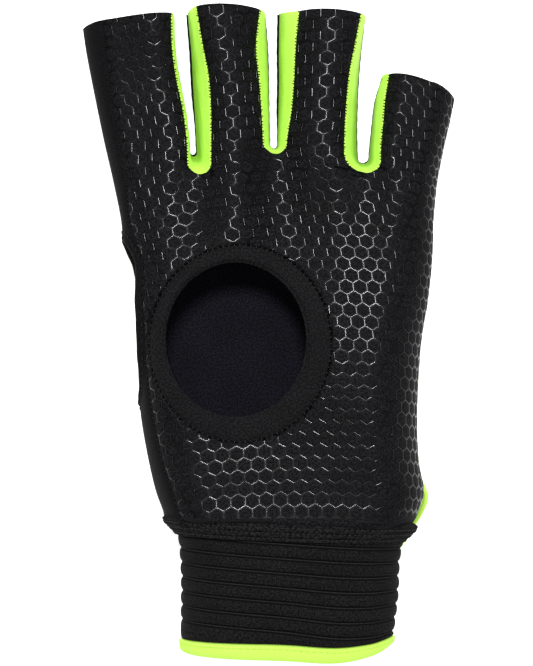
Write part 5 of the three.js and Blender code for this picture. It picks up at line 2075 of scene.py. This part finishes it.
@dataclass
class HandGuard:
    """The foam guard behind the hand, with its lime edging."""

    top: float = 7.0
    wrist_top: float = 4.4
    edging_width: float = 1.6
    seam_gap: float = 0.3
    edge_drop: float = 0.7
    base: float = 0.3
    edge_height: float = 1.6
    outline_rows: tuple[tuple[float, float, float], ...] = (
        (-75.0, 11.0, 30.0), (-73.5, 2.5, 37.5), (-69.5, -6.0, 43.2), (-64.0, -14.5, 46.8),
        (-58.0, -21.5, 50.6), (-52.5, -25.8, 52.2), (-47.0, -28.3, 50.2), (-38.0, -31.0, 46.4),
        (-20.0, -34.0, 44.0), (0.0, -36.5, 44.4), (20.0, -39.0, 46.5), (33.0, -40.2, 47.4),
        (39.0, -38.3, 45.6), (42.0, -33.0, 40.0))

    def outline(self, count: int) -> Array:
        """The outline, anticlockwise: a closed centripetal Catmull-Rom curve, evenly spaced.

        Args:
            count: how many points, the last of which is the first again.

        Returns:
            x and y in mm.
        """
        rows = np.array(self.outline_rows)
        knots = np.concatenate([rows[:, [2, 0]], rows[::-1, [1, 0]]])
        ring = np.concatenate([knots[-1:], knots, knots[:2]])
        p0, p1, p2, p3 = ring[:-3, None], ring[1:-2, None], ring[2:-1, None], ring[3:, None]
        gap = [np.sqrt(np.linalg.norm(b - a, axis=-1, keepdims=True))
               for a, b in ((p0, p1), (p1, p2), (p2, p3))]
        t1 = gap[0]
        t2 = t1 + gap[1]
        t3 = t2 + gap[2]
        t = t1 + (t2 - t1) * np.linspace(0, 1, 24, endpoint=False)[None, :, None]
        a1 = (t1 - t) / t1 * p0 + t / t1 * p1
        a2 = (t2 - t) / (t2 - t1) * p1 + (t - t1) / (t2 - t1) * p2
        a3 = (t3 - t) / (t3 - t2) * p2 + (t - t2) / (t3 - t2) * p3
        b1 = (t2 - t) / t2 * a1 + t / t2 * a2
        b2 = (t3 - t) / (t3 - t1) * a2 + (t - t1) / (t3 - t1) * a3
        curve = ((t2 - t) / (t2 - t1) * b1 + (t - t1) / (t2 - t1) * b2).reshape(-1, 2)
        curve = np.concatenate([curve, curve[:1]])
        distance = np.concatenate([[0], np.cumsum(np.linalg.norm(np.diff(curve, axis=0), axis=-1))])
        at = np.linspace(0, distance[-1], count)
        return stacked(np.interp(at, distance, curve[:, 0]), np.interp(at, distance, curve[:, 1]))

    @staticmethod
    def inset(outline: Array, amount: float) -> Array:
        """A closed anticlockwise outline, moved inwards."""
        run = np.concatenate([outline[-2:-1], outline, outline[1:2]])
        along = unit(run[2:] - run[:-2])
        return outline + stacked(-along[:, 1], along[:, 0]) * amount

    def top_at(self, y: Array) -> Array:
        """Height of the guard, which thins towards the wrist."""
        return lerp(self.wrist_top, self.top, smoothstep(y, -60.0, -52.0))

    def build(self) -> None:
        """Makes the foam, a crowned closed form, and its edging, a loop with a rounded section."""
        edge = self.inset(self.outline(181), self.edging_width + self.seam_gap)
        middle = np.array([7.0, -14.0])
        share = np.concatenate([np.linspace(0, 0.9, 28), np.linspace(0.92, 1, 10)])[:, None, None]
        plan = middle + (edge - middle) * share
        top = self.top_at(plan[..., 1])
        rounding = (1 - share[..., 0] ** 16) ** 0.5
        upper = stacked(plan[..., 0], plan[..., 1], lerp(self.edge_height, top, rounding))
        lower = stacked(plan[..., 0], plan[..., 1], self.edge_height * (1 - rounding))
        foam = Surface.grid(upper, plan, flip=False).joined(Surface.grid(lower, plan, flip=True))
        guard = foam.piece("guard_foam_body", Slot.FOAM, [FINISHES.foam])
        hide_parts("hand_guard")
        self.edging()

    def edging(self) -> None:
        """Makes the lime edging: a rounded section carried along the outline."""
        line = self.outline(241)
        angle = np.linspace(0, 2 * np.pi, 17)
        reach = superellipse(np.cos(angle), np.sin(angle), 3.0)
        half = self.edging_width / 2
        top = self.top_at(line[:, 1]) - self.edge_drop
        sections = [self.inset(line, half - half * c) for c in np.cos(angle) * reach]
        z = (top + self.base)[:, None] / 2 + ((top - self.base)[:, None] / 2) * np.sin(angle) * reach
        plan = np.stack(sections, axis=1)
        points = stacked(plan[..., 0], plan[..., 1], z)
        run = np.linspace(0, 380, len(line))[:, None]
        pattern = stacked(run + 0 * angle, angle * 1.6 + 0 * run)
        edging = Surface.grid(points, pattern, flip=True).piece(
            "guard_lime_edging", Slot.LIME, [FINISHES.lime])
        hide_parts("guard_edging")


@dataclass
class FingerPads:
    """The foam pads behind the fingers."""

    top: float = 5.0
    inset: float = 1.6
    start: float = 0.12
    end: float = 0.96
    edge_height: float = 1.4

    def build(self) -> None:
        """Makes each pad: a pillow whose height falls off towards its edges with a high power."""
        for index, finger in enumerate(FINGERS):
            along = np.linspace(-1, 1, 41)[:, None]
            across = np.linspace(-1, 1, 25)[None]
            row = 1 + lerp(self.start, self.end, (along + 1) / 2)
            left, right = FORM.row_ends(index, row[:, 0], Layer.BACK)
            corner = self.inset * (1 + np.abs(along) ** 10)
            x = lerp(left[:, None, 0] + corner, right[:, None, 0] - corner, (across + 1) / 2)
            y = lerp(left[:, None, 1], right[:, None, 1], (across + 1) / 2)
            rounding = ((1 - across**12) * (1 - np.abs(along) ** 16)) ** 0.5
            upper = stacked(x, y, lerp(self.edge_height, self.top, rounding))
            lower = stacked(x, y, self.edge_height * (1 - rounding))
            plan = stacked(x, y)
            pad = Surface.grid(upper, plan).joined(Surface.grid(lower, plan, flip=True))
            piece = pad.piece(f"pad_{finger.name}", Slot.FOAM, [FINISHES.foam])
            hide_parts(f"finger_pad_{finger.name}")


@dataclass
class Studio:
    """The pale floor, the soft lights and the camera straight above the glove."""

    camera_height: float = 0.667
    camera_place: tuple[float, float] = (-0.0007, -0.0012)
    lens: float = 111.2
    light_size: float = 0.3
    light_place: tuple[float, float, float] = (0.006, 0.466, 1.25)
    light_power: float = 19.3
    fill_size: float = 0.8
    fill_place: tuple[float, float, float] = (0.0, -0.55, 1.1)
    fill_power: float = 0.8
    table_glow: float = 0.8
    sky: float = 0.35

    def build(self) -> None:
        """Makes the stage."""
        self.camera()
        self.floor()
        self.light("Softbox", self.light_place, self.light_size, self.light_power)
        self.light("Fill", self.fill_place, self.fill_size, self.fill_power)
        scene = bpy.context.scene
        scene.view_settings.view_transform = "Standard"
        world = bpy.data.worlds.new("Studio")
        world.use_nodes = True
        background = next(n for n in world.node_tree.nodes if n.type == "BACKGROUND")
        background.inputs["Color"].default_value = (1.0, 1.0, 1.0, 1.0)
        background.inputs["Strength"].default_value = self.sky
        scene.world = world

    def camera(self) -> None:
        """Makes the camera, which looks straight down with +Y up in the picture."""
        data = bpy.data.cameras.new("Camera")
        data.lens = self.lens
        data.sensor_width = 36.0
        camera = bpy.data.objects.new("Camera", data)
        camera.location = (*self.camera_place, self.camera_height)
        bpy.context.scene.collection.objects.link(camera)
        bpy.context.scene.camera = camera

    def floor(self) -> None:
        """Makes the floor: a plain white lit table with a faint grain."""
        half = 2.5
        mesh = bpy.data.meshes.new("floor")
        corners = [(-half, -half, 0), (half, -half, 0), (half, half, 0), (-half, half, 0)]
        mesh.from_pydata(corners, [], [(0, 1, 2, 3)])
        material, graph, shader = Finish("Floor", (0.9, 0.9, 0.9), roughness=0.9,
                                         specular=0.1).start()
        place = graph.add("ShaderNodeTexCoord").outputs["Object"]
        noise = graph.add("ShaderNodeTexNoise", {"Vector": place, "Scale": 30.0})
        tone = graph.mix(noise.outputs[0], (0.9, 0.9, 0.9, 1), (0.93, 0.93, 0.93, 1))
        graph.tree.links.new(tone, shader.inputs["Base Color"])
        shader.inputs["Emission Color"].default_value = (1.0, 1.0, 1.0, 1.0)
        shader.inputs["Emission Strength"].default_value = self.table_glow
        mesh.materials.append(material)
        floor = bpy.data.objects.new("floor", mesh)
        bpy.context.scene.collection.objects.link(floor)

    def light(self, name: str, place: tuple[float, float, float], size: float,
              power: float) -> None:
        """Makes one round soft light, aimed at the glove."""
        data = bpy.data.lights.new(name, "AREA")
        data.shape = "DISK"
        data.size = size
        data.energy = power
        light = bpy.data.objects.new(name, data)
        light.location = place
        light.rotation_mode = "QUATERNION"
        light.rotation_quaternion = light.location.to_track_quat("Z", "Y")
        bpy.context.scene.collection.objects.link(light)


def main() -> None:
    """Builds the glove's pieces in order, then the studio."""
    logging.basicConfig(level=logging.INFO, format="%(message)s")
    grip = GripPattern()
    GripPalm(grip).build()
    hole = ThumbHole()
    BackShell(grip, hole).build()
    hole.build()
    Gussets().build()
    WindowBand().build()
    cuff = Cuff()
    cuff.build()
    WristFold(cuff).build()
    Hem(cuff).build()
    HandGuard().build()
    FingerPads().build()
    Studio().build()


if __name__ == "__main__":
    main()
